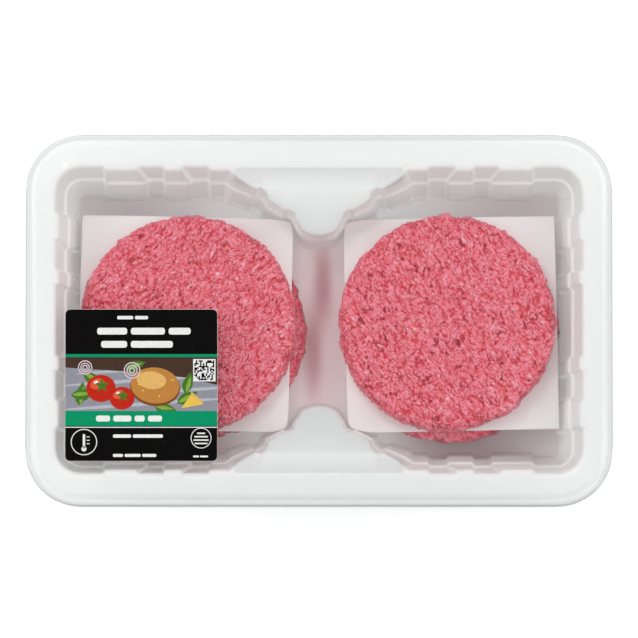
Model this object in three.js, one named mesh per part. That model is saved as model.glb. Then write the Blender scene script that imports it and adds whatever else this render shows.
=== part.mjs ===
// A shut tray pack of four ground beef patties: a thermoformed white tray with two wells, two stacks
// of two patties with a paper in each, a clear lid film sealed to the flange, and a square label.
// Millimetres, +Z up. The origin is the middle of the tray's underside, and +X runs along the tray.
import * as THREE from 'three';

// Tray: outline, flange and lip
const TRAY_LENGTH = 294;
const TRAY_WIDTH = 187;
const TRAY_CORNER_RADIUS = 28;
const FLANGE_TOP = 39;
const LIP_WIDTH = 4.1;
const LIP_DROP = 6;
// Rings over the lip from its lower edge up to the flange, as shares of its width and of its drop
const LIP_RINGS = [[0, 1], [0.2, 0.35], [0.55, 0.1], [1, 0]];
const LIP_UNDERSIDE = [0.5, 0.3];
const SHEET = 1;

// Tray: the opening, its walls and the floor
const OPENING_LENGTH = 262;
const OPENING_WIDTH = 152;
const OPENING_CORNER_RADIUS = 14;
const LEDGE_DEPTH = 17.5;
const LEDGE_WIDTH = 1.1;
const LEDGE_DROP = 1.2;
const WALL_SLOPE = Math.tan(THREE.MathUtils.degToRad(13.6));
const FOOT_ROUND = 1.6;
const EDGE_ROUND = 0.7;

// Flutes pressed outward into the walls, as [nearer the tray's middle, further from it]
const FLUTE_DEPTH = 1.75;
const FLUTE_STEP = 1.3;
const MIDDLE_FLUTE_END = 17.5;
const SHORT_WALL_FLUTES = [[26, 40]];
const LONG_WALL_FLUTES = [[78, 90.5], [55.5, 68.5]];
const CORNER_RECESS_Y = 54.5;
const CORNER_RECESS_X = 108;
const MIDDLE_FLUTE_SLANT = 1;
const SHORT_FLUTE_SLANT = 3;
const LONG_FLUTE_SLANT = 4.8;
const CORNER_STEPS = 7;

// Tongues: the two low shelves that reach in from the long sides and part the wells
const TONGUE_DROP = 5;
const TONGUE_SLOPE_RUN = 10;
const SLOPE_SHARE = 0.8;
const TONGUE_ROOT = new THREE.Vector2(40.5, 71);
const TONGUE_SHOULDER = new THREE.Vector2(9.5, 48);
const TONGUE_TIP_Y = 43;
const TONGUE_TIP_SHARES = [0.35, 0.7, 1];
const TONGUE_BEVEL = 0.7;
const TONGUE_WALL_START_X = 44;
const TONGUE_WALL_DRIFT = 3;
// How much of the walls' slope is left at a tongue's shoulder and tip, where the wall is steeper
const TONGUE_LEAN = 0.35;
// Along the flank from the root, and how far the outline is pressed into the tongue there
const FLANK_PROFILE = [
  [0, 0], [8.6, 1], [10.4, 1.2], [11.4, 3.2], [15.6, 3.2], [18.6, 0.9],
  [26, 1.5], [28.4, 1.5], [29.6, 3.2], [32.6, 3.2], [35.6, 1], [38.6, 0],
];

// Patties and papers
const PATTY_RADIUS = 54.2;
const PATTY_THICKNESS = 12;
const PATTY_EDGE_ROUND = 3.4;
const CRUMB_RELIEF = 0.45;
const RIM_RELIEF = 1;
// Rings down the rim: how far in from the widest radius, and the height as a share of the thickness
const PATTY_SIDE_RINGS = [[1, 0.88], [RIM_RELIEF / 2, 0.6], [RIM_RELIEF / 2, 0.25], [1.7, 0]];
const LOWER_RINGS = 7;
const UPPER_RINGS = 13;
const GAP = 0.3;
const PAPER_X = 106.5;
const PAPER_Y = 107.5;
const PAPER_THICKNESS = 0.35;
const PAPER_DROOP = 0.0058;
const PAPER_CLEARANCE = 1.4;
// Lines of the paper's grid across it, close together near the edges, where it bends
const PAPER_GRID = [0, 0.05, 0.1, 0.17, 0.28, 0.5, 0.72, 0.83, 0.9, 0.95, 1];
const STACKS = {
  left: {
    lower: [-60.8, -2.8], upper: [-65.5, -0.9], paper: [-67.3, 0.4], turn: -1.5, seed: 11,
  },
  right: {
    lower: [66.3, -5], upper: [64.2, -0.3], paper: [66.4, 0], turn: 1.2, seed: 23,
  },
};

// Lid film and label
const FILM_THICKNESS = 0.3;
const FILM_MARGIN = 1;
const LABEL_SIDE = 76.2;
const LABEL_CORNER_RADIUS = 2.5;
const LABEL_THICKNESS = 0.3;
const LABEL_CENTRE = new THREE.Vector2(-88.8, -32.8);
const FILM_CORNER_SEGMENTS = 10;
const LABEL_CORNER_SEGMENTS = 4;

// Colour and roughness of each material
const FINISHES = {
  tray: [0xf2f3f3, 0.3],
  meat: [0xd96e7c, 0.5],
  paper: [0xf0e6e4, 0.8],
  film: [0xffffff, 0.1],
  label: [0x1c1f1f, 0.35],
};
const FILM_OPACITY = 0.15;

const HALF_LENGTH = OPENING_LENGTH / 2;
const HALF_WIDTH = OPENING_WIDTH / 2;
const FLOOR_TOP = SHEET;
const LOWER_BASE = FLOOR_TOP + GAP;
const PAPER_BASE = LOWER_BASE + PATTY_THICKNESS + CRUMB_RELIEF + GAP;
const UPPER_BASE = PAPER_BASE + PAPER_THICKNESS + GAP;
const FILM_BASE = FLANGE_TOP + GAP;
const LABEL_BASE = FILM_BASE + FILM_THICKNESS + GAP;
const FLANK_DIRECTION = TONGUE_SHOULDER.clone().sub(TONGUE_ROOT).normalize();
const OFF_FLANK = new THREE.Vector2(-FLANK_DIRECTION.y, FLANK_DIRECTION.x);
const FLANK_LENGTH = FLANK_PROFILE.at(-1)[0];

// A repeatable random draw from 0 to 1
function randomFrom(seed) {
  let state = seed >>> 0;
  return () => {
    state = (Math.imul(state, 1664525) + 1013904223) >>> 0;
    return state / 4294967296;
  };
}

// How far the opening's edge lies below the flange: nothing on a wall, and down the slope on a tongue
function rimDepth({ tongue, rim }) {
  const run = HALF_WIDTH - Math.abs(rim.y);
  return tongue ? TONGUE_DROP * Math.min(run / TONGUE_SLOPE_RUN, 1) : 0;
}

// How far the well's wall stands in from the opening's edge at a depth below the flange
function wallInset(depth) {
  const ledge = THREE.MathUtils.clamp((depth - LEDGE_DEPTH) / LEDGE_DROP, 0, 1);
  return EDGE_ROUND + depth * WALL_SLOPE + ledge * LEDGE_WIDTH;
}

// A point of the opening's edge: where it is, which way is into the well, and how far it drifts
// sideways by the time the wall reaches the ledge
function rimPoint(x, y, inX, inY, drift = [0, 0]) {
  return {
    rim: new THREE.Vector2(x, y),
    into: new THREE.Vector2(inX, inY),
    drift: new THREE.Vector2(...drift),
    edge: new THREE.Vector2(x, y),
    tongue: false,
    lean: 1,
  };
}

function shortWallPoint(y, depth, slant = 0) {
  return rimPoint(HALF_LENGTH + depth, y, -1, 0, [0, -slant]);
}

function longWallPoint(x, depth, slant = 0) {
  return rimPoint(x, HALF_WIDTH + depth, 0, -1, [-slant, 0]);
}

// The four points of a flute, walked outward from the tray's middle
function flute(wallPoint, [near, far], slant) {
  return [
    wallPoint(near - FLUTE_STEP, 0),
    wallPoint(near, FLUTE_DEPTH),
    wallPoint(far, FLUTE_DEPTH, slant),
    wallPoint(far + FLUTE_STEP, 0, slant),
  ];
}

function cornerArc() {
  const radius = OPENING_CORNER_RADIUS;
  const centreX = HALF_LENGTH + FLUTE_DEPTH - radius;
  const centreY = HALF_WIDTH + FLUTE_DEPTH - radius;
  return Array.from({ length: CORNER_STEPS + 1 }, (_, step) => {
    const angle = (Math.PI / 2) * (step / CORNER_STEPS);
    const [c, s] = [Math.cos(angle), Math.sin(angle)];
    return rimPoint(centreX + radius * c, centreY + radius * s, -c, -s);
  });
}

// The share of the walls' slope at a distance from the tongue's root along its flank
function leanAt(distance) {
  const share = THREE.MathUtils.clamp(distance / FLANK_LENGTH, 0, 1);
  return THREE.MathUtils.lerp(1, TONGUE_LEAN, share);
}

// The tongue's outline from its root to the middle of its tip
function tonguePoints() {
  const flank = FLANK_PROFILE.map(([distance, depth]) => {
    const place = TONGUE_ROOT.clone().addScaledVector(FLANK_DIRECTION, distance);
    place.addScaledVector(OFF_FLANK, -depth);
    return rimPoint(place.x, place.y, OFF_FLANK.x, OFF_FLANK.y);
  });
  const flankAngle = Math.atan2(OFF_FLANK.y, OFF_FLANK.x);
  const tipRise = TONGUE_SHOULDER.y - TONGUE_TIP_Y;
  const tip = TONGUE_TIP_SHARES.map((share) => {
    const turn = share * Math.PI / 2;
    const angle = THREE.MathUtils.lerp(flankAngle, -Math.PI / 2, share);
    return rimPoint(
      TONGUE_SHOULDER.x * Math.cos(turn),
      TONGUE_SHOULDER.y - tipRise * Math.sin(turn),
      Math.cos(angle),
      Math.sin(angle),
    );
  });
  const points = [...flank, ...tip];
  const last = FLANK_PROFILE.length - 1;
  points.forEach((point, index) => {
    const onTip = (points.length - 1 - index) / (points.length - 1 - last);
    const distance = FLANK_PROFILE[Math.min(index, last)][0];
    const x = index > last
      ? TONGUE_SHOULDER.x * onTip
      : THREE.MathUtils.lerp(TONGUE_ROOT.x, TONGUE_SHOULDER.x, distance / FLANK_LENGTH);
    point.edge.set(x, HALF_WIDTH);
    point.tongue = true;
    point.lean = leanAt(distance);
  });
  return points;
}

// A quarter of the opening's edge, from the middle of the short side to the middle of the long side
function quarterRim() {
  const shortWall = [
    shortWallPoint(0, FLUTE_DEPTH),
    shortWallPoint(MIDDLE_FLUTE_END, FLUTE_DEPTH, MIDDLE_FLUTE_SLANT),
    shortWallPoint(MIDDLE_FLUTE_END + FLUTE_STEP, 0, MIDDLE_FLUTE_SLANT),
    ...SHORT_WALL_FLUTES.flatMap((span) => flute(shortWallPoint, span, SHORT_FLUTE_SLANT)),
    shortWallPoint(CORNER_RECESS_Y - FLUTE_STEP, 0),
    shortWallPoint(CORNER_RECESS_Y, FLUTE_DEPTH),
  ];
  const longWall = [
    longWallPoint(CORNER_RECESS_X, FLUTE_DEPTH),
    longWallPoint(CORNER_RECESS_X - FLUTE_STEP, 0),
    ...LONG_WALL_FLUTES.flatMap((span) => flute(longWallPoint, span, LONG_FLUTE_SLANT).reverse()),
    longWallPoint(TONGUE_WALL_START_X, 0, -TONGUE_WALL_DRIFT),
  ];
  return [...shortWall, ...cornerArc(), ...longWall, ...tonguePoints()];
}

function mirrored(point, signX, signY) {
  const sign = new THREE.Vector2(signX, signY);
  const copy = { tongue: point.tongue, lean: point.lean };
  for (const key of ['rim', 'into', 'drift', 'edge']) copy[key] = point[key].clone().multiply(sign);
  return copy;
}

// The whole edge, counter-clockwise from the middle of the +X side
function wholeRim() {
  const quarter = quarterRim();
  const back = quarter.slice(0, -1).reverse();
  const topHalf = [...quarter, ...back.map((point) => mirrored(point, -1, 1))];
  const lower = topHalf.slice(1, -1).reverse();
  return [...topHalf, ...lower.map((point) => mirrored(point, 1, -1))];
}

// A ring round the flange or lip, each point straight out from its point of the opening's edge
function outerRing(rim, inset, z) {
  const radius = TRAY_CORNER_RADIUS - inset;
  const centreX = TRAY_LENGTH / 2 - TRAY_CORNER_RADIUS;
  const centreY = TRAY_WIDTH / 2 - TRAY_CORNER_RADIUS;
  return rim.map(({ edge, into, tongue }) => {
    const out = tongue ? new THREE.Vector2(0, Math.sign(edge.y)) : into.clone().negate();
    const corner = Math.min(Math.abs(out.x), Math.abs(out.y)) > Number.EPSILON;
    const alongX = corner ? centreX : Math.min(Math.abs(edge.x), centreX);
    const alongY = corner ? centreY : Math.min(Math.abs(edge.y), centreY);
    const side = Math.abs(out.x) > Math.abs(out.y) ? 'short' : 'long';
    const x = (corner || side === 'short' ? centreX : alongX) * Math.sign(edge.x);
    const y = (corner || side === 'long' ? centreY : alongY) * Math.sign(edge.y);
    return new THREE.Vector3(x + out.x * radius, y + out.y * radius, z);
  });
}

function wallPoint(point, depth, outward) {
  const start = point.tongue ? wallInset(rimDepth(point)) : 0;
  const inset = Math.max(wallInset(depth) - start, 0) * point.lean - outward;
  const share = Math.min(depth / LEDGE_DEPTH, 1);
  return point.rim.clone().addScaledVector(point.into, inset).addScaledVector(point.drift, share);
}

function wallRing(rim, depth, outward = 0) {
  return rim.map((point) => {
    const place = wallPoint(point, depth, outward);
    return new THREE.Vector3(place.x, place.y, FLANGE_TOP - depth);
  });
}

// The flange's inner edge
function edgeRing(rim, outward, z) {
  return rim.map(({ edge, into, tongue }) => {
    const away = tongue ? new THREE.Vector2(0, -Math.sign(edge.y)) : into;
    const place = edge.clone().addScaledVector(away, -outward);
    return new THREE.Vector3(place.x, place.y, z);
  });
}

// Just under the edge on a wall, and at the foot of the slope on a tongue
function slopeRing(rim, outward, down) {
  return rim.map((point) => {
    if (!point.tongue) {
      const place = wallPoint(point, EDGE_ROUND + down, outward);
      return new THREE.Vector3(place.x, place.y, FLANGE_TOP - EDGE_ROUND - down);
    }
    const reach = HALF_WIDTH - Math.abs(point.rim.y);
    const share = Math.min(TONGUE_SLOPE_RUN / reach, SLOPE_SHARE);
    const place = point.edge.clone().lerp(point.rim, share);
    const drop = TONGUE_DROP * Math.min(share * reach / TONGUE_SLOPE_RUN, 1);
    return new THREE.Vector3(place.x, place.y, FLANGE_TOP - drop - down);
  });
}

// The tongue's rim, and a little below the edge on the walls
function shelfRing(rim, outward, down) {
  return rim.map((point) => {
    const depth = (point.tongue ? rimDepth(point) : TONGUE_DROP) + down;
    const place = wallPoint(point, depth, outward);
    return new THREE.Vector3(place.x, place.y, FLANGE_TOP - depth);
  });
}

function footRing(rim, inset, z) {
  const depth = FLANGE_TOP - FLOOR_TOP;
  return rim.map((point) => {
    const place = wallPoint(point, depth, -inset);
    return new THREE.Vector3(place.x, place.y, z);
  });
}

// A closed solid from rings of equal length, with a flat cap inside the first and the last
function loftGeometry(rings) {
  const count = rings[0].length;
  const positions = rings.flat().flatMap(({ x, y, z }) => [x, y, z]);
  const index = [];
  for (let ring = 0; ring + 1 < rings.length; ring += 1) {
    for (let step = 0; step < count; step += 1) {
      const next = (step + 1) % count;
      const [a, b] = [ring * count + step, ring * count + next];
      const [c, d] = [a + count, b + count];
      index.push(a, b, c, b, d, c);
    }
  }
  const last = (rings.length - 1) * count;
  for (const [a, b, c] of capFaces(rings[0])) index.push(c, b, a);
  for (const [a, b, c] of capFaces(rings.at(-1))) index.push(last + a, last + b, last + c);
  return facesGeometry(positions, index);
}

function capFaces(ring) {
  const outline = ring.map(({ x, y }) => new THREE.Vector2(x, y));
  const faces = THREE.ShapeUtils.triangulateShape(outline, []);
  return THREE.ShapeUtils.area(outline) > 0 ? faces : faces.map(([a, b, c]) => [c, b, a]);
}

function facesGeometry(positions, index) {
  const geometry = new THREE.BufferGeometry();
  geometry.setAttribute('position', new THREE.Float32BufferAttribute(positions, 3));
  geometry.setIndex(index);
  geometry.computeVertexNormals();
  return geometry;
}

// From the middle of the underside out to the lip, over it, and down into the wells
function trayGeometry() {
  const rim = wholeRim();
  const depth = FLANGE_TOP - FLOOR_TOP;
  const [underWidth, underDrop] = LIP_UNDERSIDE;
  const below = [
    footRing(rim, FOOT_ROUND - SHEET / 2, 0),
    wallRing(rim, depth - FOOT_ROUND, SHEET),
    wallRing(rim, LEDGE_DEPTH + LEDGE_DROP, SHEET),
    wallRing(rim, LEDGE_DEPTH, SHEET),
    shelfRing(rim, SHEET, SHEET),
    slopeRing(rim, SHEET, SHEET),
    edgeRing(rim, SHEET, FLANGE_TOP - SHEET),
    outerRing(rim, LIP_WIDTH, FLANGE_TOP - SHEET),
    outerRing(rim, LIP_WIDTH * underWidth, FLANGE_TOP - LIP_DROP * underDrop - SHEET / 2),
    outerRing(rim, SHEET, FLANGE_TOP - LIP_DROP),
  ];
  const lip = LIP_RINGS.map(([width, drop]) => (
    outerRing(rim, LIP_WIDTH * width, FLANGE_TOP - LIP_DROP * drop)));
  const above = [
    edgeRing(rim, 0, FLANGE_TOP),
    slopeRing(rim, 0, 0),
    shelfRing(rim, 0, 0),
    shelfRing(rim, 0, TONGUE_BEVEL),
    wallRing(rim, LEDGE_DEPTH),
    wallRing(rim, LEDGE_DEPTH + LEDGE_DROP),
    wallRing(rim, depth - FOOT_ROUND),
    footRing(rim, FOOT_ROUND, FLOOR_TOP),
  ];
  return loftGeometry([...below, ...lip, ...above]);
}

// The faces between one ring of points and the next ring out, which holds six points more
function wideningFaces(inner, innerCount, outer) {
  const faces = [];
  const outerCount = innerCount + 6;
  const side = innerCount / 6;
  const on = (start, count, step) => start + (step % count);
  for (let sixth = 0; sixth < 6; sixth += 1) {
    for (let k = 0; k <= side; k += 1) {
      const near = on(inner, innerCount, sixth * side + k);
      const far = sixth * (side + 1) + k;
      faces.push(near, on(outer, outerCount, far), on(outer, outerCount, far + 1));
      if (k < side) {
        const next = on(inner, innerCount, sixth * side + k + 1);
        faces.push(near, on(outer, outerCount, far + 1), next);
      }
    }
  }
  return faces;
}

// A pressed round of ground meat: a level underside, a rounded uneven rim and a crumbed top
function pattyGeometry({ rings, seed }) {
  const random = randomFrom(seed);
  const flatRadius = PATTY_RADIUS - PATTY_EDGE_ROUND;
  const positions = [0, 0, PATTY_THICKNESS];
  const index = [];
  const addPoint = (radius, angle, z) => {
    positions.push(radius * Math.cos(angle), radius * Math.sin(angle), z);
  };
  const crumb = () => (random() - 0.5) * 2 * CRUMB_RELIEF;
  for (let step = 0; step < 6; step += 1) index.push(0, 1 + step, 1 + ((step + 1) % 6));
  let start = 1;
  for (let ring = 1; ring <= rings; ring += 1) {
    const count = 6 * ring;
    for (let step = 0; step < count; step += 1) {
      const angle = (2 * Math.PI * step) / count;
      addPoint((flatRadius * ring) / rings, angle, PATTY_THICKNESS + crumb());
    }
    if (ring < rings) index.push(...wideningFaces(start, count, start + count));
    if (ring < rings) start += count;
  }
  const count = 6 * rings;
  const rimOffsets = Array.from({ length: count }, () => (random() - 0.5) * RIM_RELIEF);
  for (const [inset, share] of PATTY_SIDE_RINGS) {
    for (let step = 0; step < count; step += 1) {
      const angle = (2 * Math.PI * step) / count;
      const uneven = share > 0 ? crumb() : 0;
      addPoint(PATTY_RADIUS - inset + rimOffsets[step], angle, PATTY_THICKNESS * share + uneven);
    }
    for (let step = 0; step < count; step += 1) {
      const next = (step + 1) % count;
      const [a, b] = [start + step, start + next];
      index.push(a, a + count, b + count, a, b + count, b);
    }
    start += count;
  }
  positions.push(0, 0, 0);
  for (let step = 0; step < count; step += 1) {
    index.push(start + ((step + 1) % count), start + step, start + count);
  }
  return facesGeometry(positions, index);
}

// Turns a flat paper's point up where a tongue's flank, widened down to the paper, stands in its way
function turnUp(flat, widening) {
  const fromRoot = new THREE.Vector2(Math.abs(flat.x), Math.abs(flat.y)).sub(TONGUE_ROOT);
  const lean = leanAt(fromRoot.dot(FLANK_DIRECTION));
  const rise = Math.max(widening * lean + PAPER_CLEARANCE - fromRoot.dot(OFF_FLANK), 0);
  const aside = rise * (1 - WALL_SLOPE * lean);
  flat.x += Math.sign(flat.x) * OFF_FLANK.x * aside;
  flat.y += Math.sign(flat.y) * OFF_FLANK.y * aside;
  return rise;
}

// A square of thin paper. It lies on the lower patty, droops past it, and turns up where a corner
// meets a tongue
function paperGeometry({ lower, paper, turn }) {
  const spin = THREE.MathUtils.degToRad(turn);
  const widening = wallInset(FLANGE_TOP - PAPER_BASE) - wallInset(TONGUE_DROP);
  const place = (u, v) => {
    const flat = new THREE.Vector2((u - 0.5) * PAPER_X, (v - 0.5) * PAPER_Y);
    flat.rotateAround(new THREE.Vector2(), spin).add(new THREE.Vector2(...paper));
    const beyond = flat.distanceTo(new THREE.Vector2(...lower)) - PATTY_RADIUS + RIM_RELIEF;
    const droop = PAPER_DROOP * Math.max(beyond, 0) ** 2;
    const rise = turnUp(flat, widening);
    return new THREE.Vector3(flat.x, flat.y, PAPER_BASE - droop + rise);
  };
  return sheetGeometry(PAPER_GRID, place, PAPER_THICKNESS);
}

// A closed thin sheet over a square grid, both faces split alike
function sheetGeometry(shares, place, thickness) {
  const count = shares.length;
  const upper = shares.flatMap((v) => shares.map((u) => place(u, v)));
  const positions = [];
  for (const lift of [thickness, 0]) {
    for (const point of upper) positions.push(point.x, point.y, point.z + lift);
  }
  const index = [];
  const size = count * count;
  for (let row = 0; row + 1 < count; row += 1) {
    for (let column = 0; column + 1 < count; column += 1) {
      const a = row * count + column;
      const [b, c, d] = [a + 1, a + count, a + count + 1];
      index.push(a, b, d, a, d, c);
      index.push(size + a, size + d, size + b, size + a, size + c, size + d);
    }
  }
  for (const [from, to] of borderSteps(count)) {
    index.push(from, size + from, size + to, from, size + to, to);
  }
  return facesGeometry(positions, index);
}

// The steps round a grid's border, counter-clockwise seen from above
function borderSteps(count) {
  const last = count - 1;
  const steps = [];
  for (let k = 0; k < last; k += 1) {
    steps.push([k, k + 1]);
    steps.push([k * count + last, (k + 1) * count + last]);
    steps.push([last * count + k + 1, last * count + k]);
    steps.push([(k + 1) * count, k * count]);
  }
  return steps;
}

function roundedPlate(width, height, radius, thickness, curveSegments) {
  const [x, y] = [width / 2, height / 2];
  const shape = new THREE.Shape();
  shape.moveTo(x, -y + radius);
  shape.absarc(x - radius, y - radius, radius, 0, Math.PI / 2);
  shape.absarc(-x + radius, y - radius, radius, Math.PI / 2, Math.PI);
  shape.absarc(-x + radius, -y + radius, radius, Math.PI, Math.PI * 1.5);
  shape.absarc(x - radius, -y + radius, radius, Math.PI * 1.5, Math.PI * 2);
  return new THREE.ExtrudeGeometry(shape, { depth: thickness, bevelEnabled: false, curveSegments });
}

function finish(name, extra = {}) {
  const [color, roughness] = FINISHES[name];
  return new THREE.MeshStandardMaterial({ color, roughness, metalness: 0, ...extra });
}

function named(name, geometry, material, x = 0, y = 0, z = 0) {
  const mesh = new THREE.Mesh(geometry, material);
  mesh.name = name;
  mesh.position.set(x, y, z);
  return mesh;
}

function addStack(pack, side, stack) {
  const lower = pattyGeometry({ rings: LOWER_RINGS, seed: stack.seed });
  const upper = pattyGeometry({ rings: UPPER_RINGS, seed: stack.seed + 1 });
  pack.add(named(`patty_${side}_lower`, lower, finish('meat'), ...stack.lower, LOWER_BASE));
  pack.add(named(`paper_${side}`, paperGeometry(stack), finish('paper')));
  pack.add(named(`patty_${side}_upper`, upper, finish('meat'), ...stack.upper, UPPER_BASE));
}

function filmGeometry() {
  const inset = LIP_WIDTH + FILM_MARGIN;
  const [width, height] = [TRAY_LENGTH - 2 * inset, TRAY_WIDTH - 2 * inset];
  const radius = TRAY_CORNER_RADIUS - inset;
  return roundedPlate(width, height, radius, FILM_THICKNESS, FILM_CORNER_SEGMENTS);
}

function labelGeometry() {
  const [side, radius] = [LABEL_SIDE, LABEL_CORNER_RADIUS];
  return roundedPlate(side, side, radius, LABEL_THICKNESS, LABEL_CORNER_SEGMENTS);
}

const pack = new THREE.Group();
pack.add(named('tray', trayGeometry(), finish('tray')));
for (const [side, stack] of Object.entries(STACKS)) addStack(pack, side, stack);
const clear = finish('film', { transparent: true, opacity: FILM_OPACITY });
pack.add(named('lid_film', filmGeometry(), clear, 0, 0, FILM_BASE));
const print = finish('label');
pack.add(named('label', labelGeometry(), print, LABEL_CENTRE.x, LABEL_CENTRE.y, LABEL_BASE));

export default pack;
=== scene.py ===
# %% [markdown]
# # A shut tray pack of ground beef patties
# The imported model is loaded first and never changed. Everything made below is placed by it,
# so the scene stays in the same frame and at the same real size. Blender works in metres,
# while a maker thinks in millimetres, so every size is written in mm and multiplied once.

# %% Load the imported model
import math

import bpy
import numpy as np
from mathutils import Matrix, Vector


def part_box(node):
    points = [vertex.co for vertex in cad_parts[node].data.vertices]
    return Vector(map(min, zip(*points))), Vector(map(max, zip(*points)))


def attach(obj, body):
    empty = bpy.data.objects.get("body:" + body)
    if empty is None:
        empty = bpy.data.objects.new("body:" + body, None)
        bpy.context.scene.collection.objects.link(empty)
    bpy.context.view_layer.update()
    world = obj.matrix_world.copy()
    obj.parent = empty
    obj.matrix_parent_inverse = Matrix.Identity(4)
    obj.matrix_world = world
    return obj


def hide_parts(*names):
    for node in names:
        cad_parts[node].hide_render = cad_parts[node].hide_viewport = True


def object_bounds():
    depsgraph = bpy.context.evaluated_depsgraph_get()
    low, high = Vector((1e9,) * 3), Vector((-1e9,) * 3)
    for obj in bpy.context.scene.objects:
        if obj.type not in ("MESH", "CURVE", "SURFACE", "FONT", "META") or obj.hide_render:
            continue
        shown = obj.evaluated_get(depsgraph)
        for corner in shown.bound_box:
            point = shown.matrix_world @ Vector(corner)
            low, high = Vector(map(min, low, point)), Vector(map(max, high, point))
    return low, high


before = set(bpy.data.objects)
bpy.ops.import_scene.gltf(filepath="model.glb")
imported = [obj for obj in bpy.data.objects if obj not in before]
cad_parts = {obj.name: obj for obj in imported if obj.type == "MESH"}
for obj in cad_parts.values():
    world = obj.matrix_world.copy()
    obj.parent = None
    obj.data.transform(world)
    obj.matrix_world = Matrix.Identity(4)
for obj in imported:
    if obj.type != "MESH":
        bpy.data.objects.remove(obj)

MM = 0.001
CAD_BOX = [list(corner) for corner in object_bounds()]
BOX = {name: [np.array(c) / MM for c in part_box(name)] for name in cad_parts}
print("nodes:", sorted(BOX))
print("whole pack in mm:", [round((b - a) / MM, 1) for a, b in zip(*CAD_BOX)])

# %% [markdown]
# ## Helpers for meshes
# A mesh is only points and faces. It can be built with modifiers or with bmesh, but a pressed
# tray and ground meat are easier to say as formulas over many points at once, so numpy works
# out the points and one helper hands them to Blender.


# %% Turn arrays into a piece
def add_piece(name, points, faces, materials, stands_for, smooth=True):
    """A mesh object from points in mm, riding on the pack's one body in place of its solid."""
    mesh = bpy.data.meshes.new(name)
    mesh.from_pydata((np.asarray(points) * MM).tolist(), [], [list(map(int, f)) for f in faces])
    mesh.validate()
    mesh.polygons.foreach_set("use_smooth", [smooth] * len(mesh.polygons))
    for material in materials:
        mesh.materials.append(material)
    mesh.update()
    piece = bpy.data.objects.new(name, mesh)
    bpy.context.scene.collection.objects.link(piece)
    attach(piece, "root")
    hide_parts(*stands_for)
    print(f"{name}: {len(mesh.vertices)} points, {len(mesh.polygons)} faces")
    return piece


def keep_flats_flat(piece):
    """Normals weighted by face size, so that a flat stays flat between its rounded edges."""
    modifier = piece.modifiers.new("weighted normals", "WEIGHTED_NORMAL")
    modifier.keep_sharp = False


def set_mask(piece, name, values):
    """Stores one number for each point, for the material to read."""
    mask = piece.data.attributes.new(name, "FLOAT", "POINT")
    mask.data.foreach_set("value", np.asarray(values, dtype=np.float32))


# %% [markdown]
# ## Helpers for uneven surfaces
# Real meat and film are uneven in a way that repeats nowhere. A lattice of hashed numbers gives
# smooth noise, and the distances to scattered points give crumbs and the cracks between them.
# Both are worked out from the point's place alone, so each run gives the same surface.


# %% Repeatable noise
def hashed(cells, seed):
    """A number from 0 to 1 for each whole-number cell of an (n, 3) array."""
    mixed = cells[:, 0] * 73856093 ^ cells[:, 1] * 19349663 ^ cells[:, 2] * 83492791
    mixed = (mixed ^ (seed * 40503)) & 0xFFFFFFFF
    for shift, factor in ((15, 0x2C1B3C6D), (12, 0x297A2D39)):
        mixed = ((mixed ^ (mixed >> shift)) * factor) & 0xFFFFFFFF
    return ((mixed ^ (mixed >> 15)) & 0xFFFFFFFF) / 0xFFFFFFFF


def smooth_noise(points, size, seed):
    """Soft noise from -1 to 1 whose bumps are about size apart."""
    scaled = points / size
    base = np.floor(scaled).astype(np.int64)
    share = scaled - base
    share = share * share * (3 - 2 * share)
    total = np.zeros(len(points))
    for corner in np.ndindex(2, 2, 2):
        weight = np.prod(np.where(corner, share, 1 - share), axis=1)
        total += weight * hashed(base + np.array(corner), seed)
    return total * 2 - 1


def crumb_field(points, size, seed):
    """Distances to the nearest and second nearest of scattered points, and the nearest one's tone."""
    scaled = points / size
    base = np.floor(scaled).astype(np.int64)
    near = np.full(len(points), 9.0)
    second = np.full(len(points), 9.0)
    tone = np.zeros(len(points))
    for step in np.ndindex(3, 3, 3):
        cell = base + np.array(step) - 1
        place = cell + np.stack([hashed(cell, seed + k) for k in (1, 2, 3)], axis=1)
        distance = np.linalg.norm(scaled - place, axis=1)
        tone = np.where(distance < near, hashed(cell, seed + 4), tone)
        second = np.minimum(second, np.maximum(distance, near))
        near = np.minimum(near, distance)
    return near, second, tone


def step_up(values, low, high):
    """0 below low, 1 above high, and a soft step between."""
    share = np.clip((values - low) / (high - low), 0, 1)
    return share * share * (3 - 2 * share)


# %% [markdown]
# ## Helpers for materials
# A material is a small graph of nodes. Three effects come back many times here: soft blotches
# that keep a plain colour from looking flat, a fine grain for bump and roughness, and a soft oval
# spot for a local tint. Each is built once as a node group with named sockets, and every use
# gives it its own values.


# %% Nodes and groups
def new_material(name):
    material = bpy.data.materials.new(name)
    material.use_nodes = True
    return material, material.node_tree, material.node_tree.nodes["Principled BSDF"]


def add_node(tree, kind, **settings):
    node = tree.nodes.new(kind)
    for key, value in settings.items():
        setattr(node, key, value)
    return node


def set_inputs(node, **values):
    """Sets a node's inputs. An underscore in a name stands for a space."""
    for label, value in values.items():
        node.inputs[label.replace("_", " ")].default_value = value


def new_group(name, inputs, outputs):
    """A node group with its inputs and outputs, and its two end nodes."""
    group = bpy.data.node_groups.new(name, "ShaderNodeTree")
    for label, kind, value in inputs:
        socket = group.interface.new_socket(label, in_out="INPUT", socket_type=kind)
        socket.default_value = value
    for label, kind in outputs:
        group.interface.new_socket(label, in_out="OUTPUT", socket_type=kind)
    return group, add_node(group, "NodeGroupInput"), add_node(group, "NodeGroupOutput")


# %% [markdown]
# ### Blotches, grain and spots
# Noise on the object's own coordinates stays with the piece when it moves. A Map Range node
# turns it into a mask or into a roughness, and a distance that is faded the same way is a spot.

# %% Three node groups
BLOTCH_LOW, BLOTCH_HIGH, GRAIN_DETAIL = 0.35, 0.65, 5.0


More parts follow.
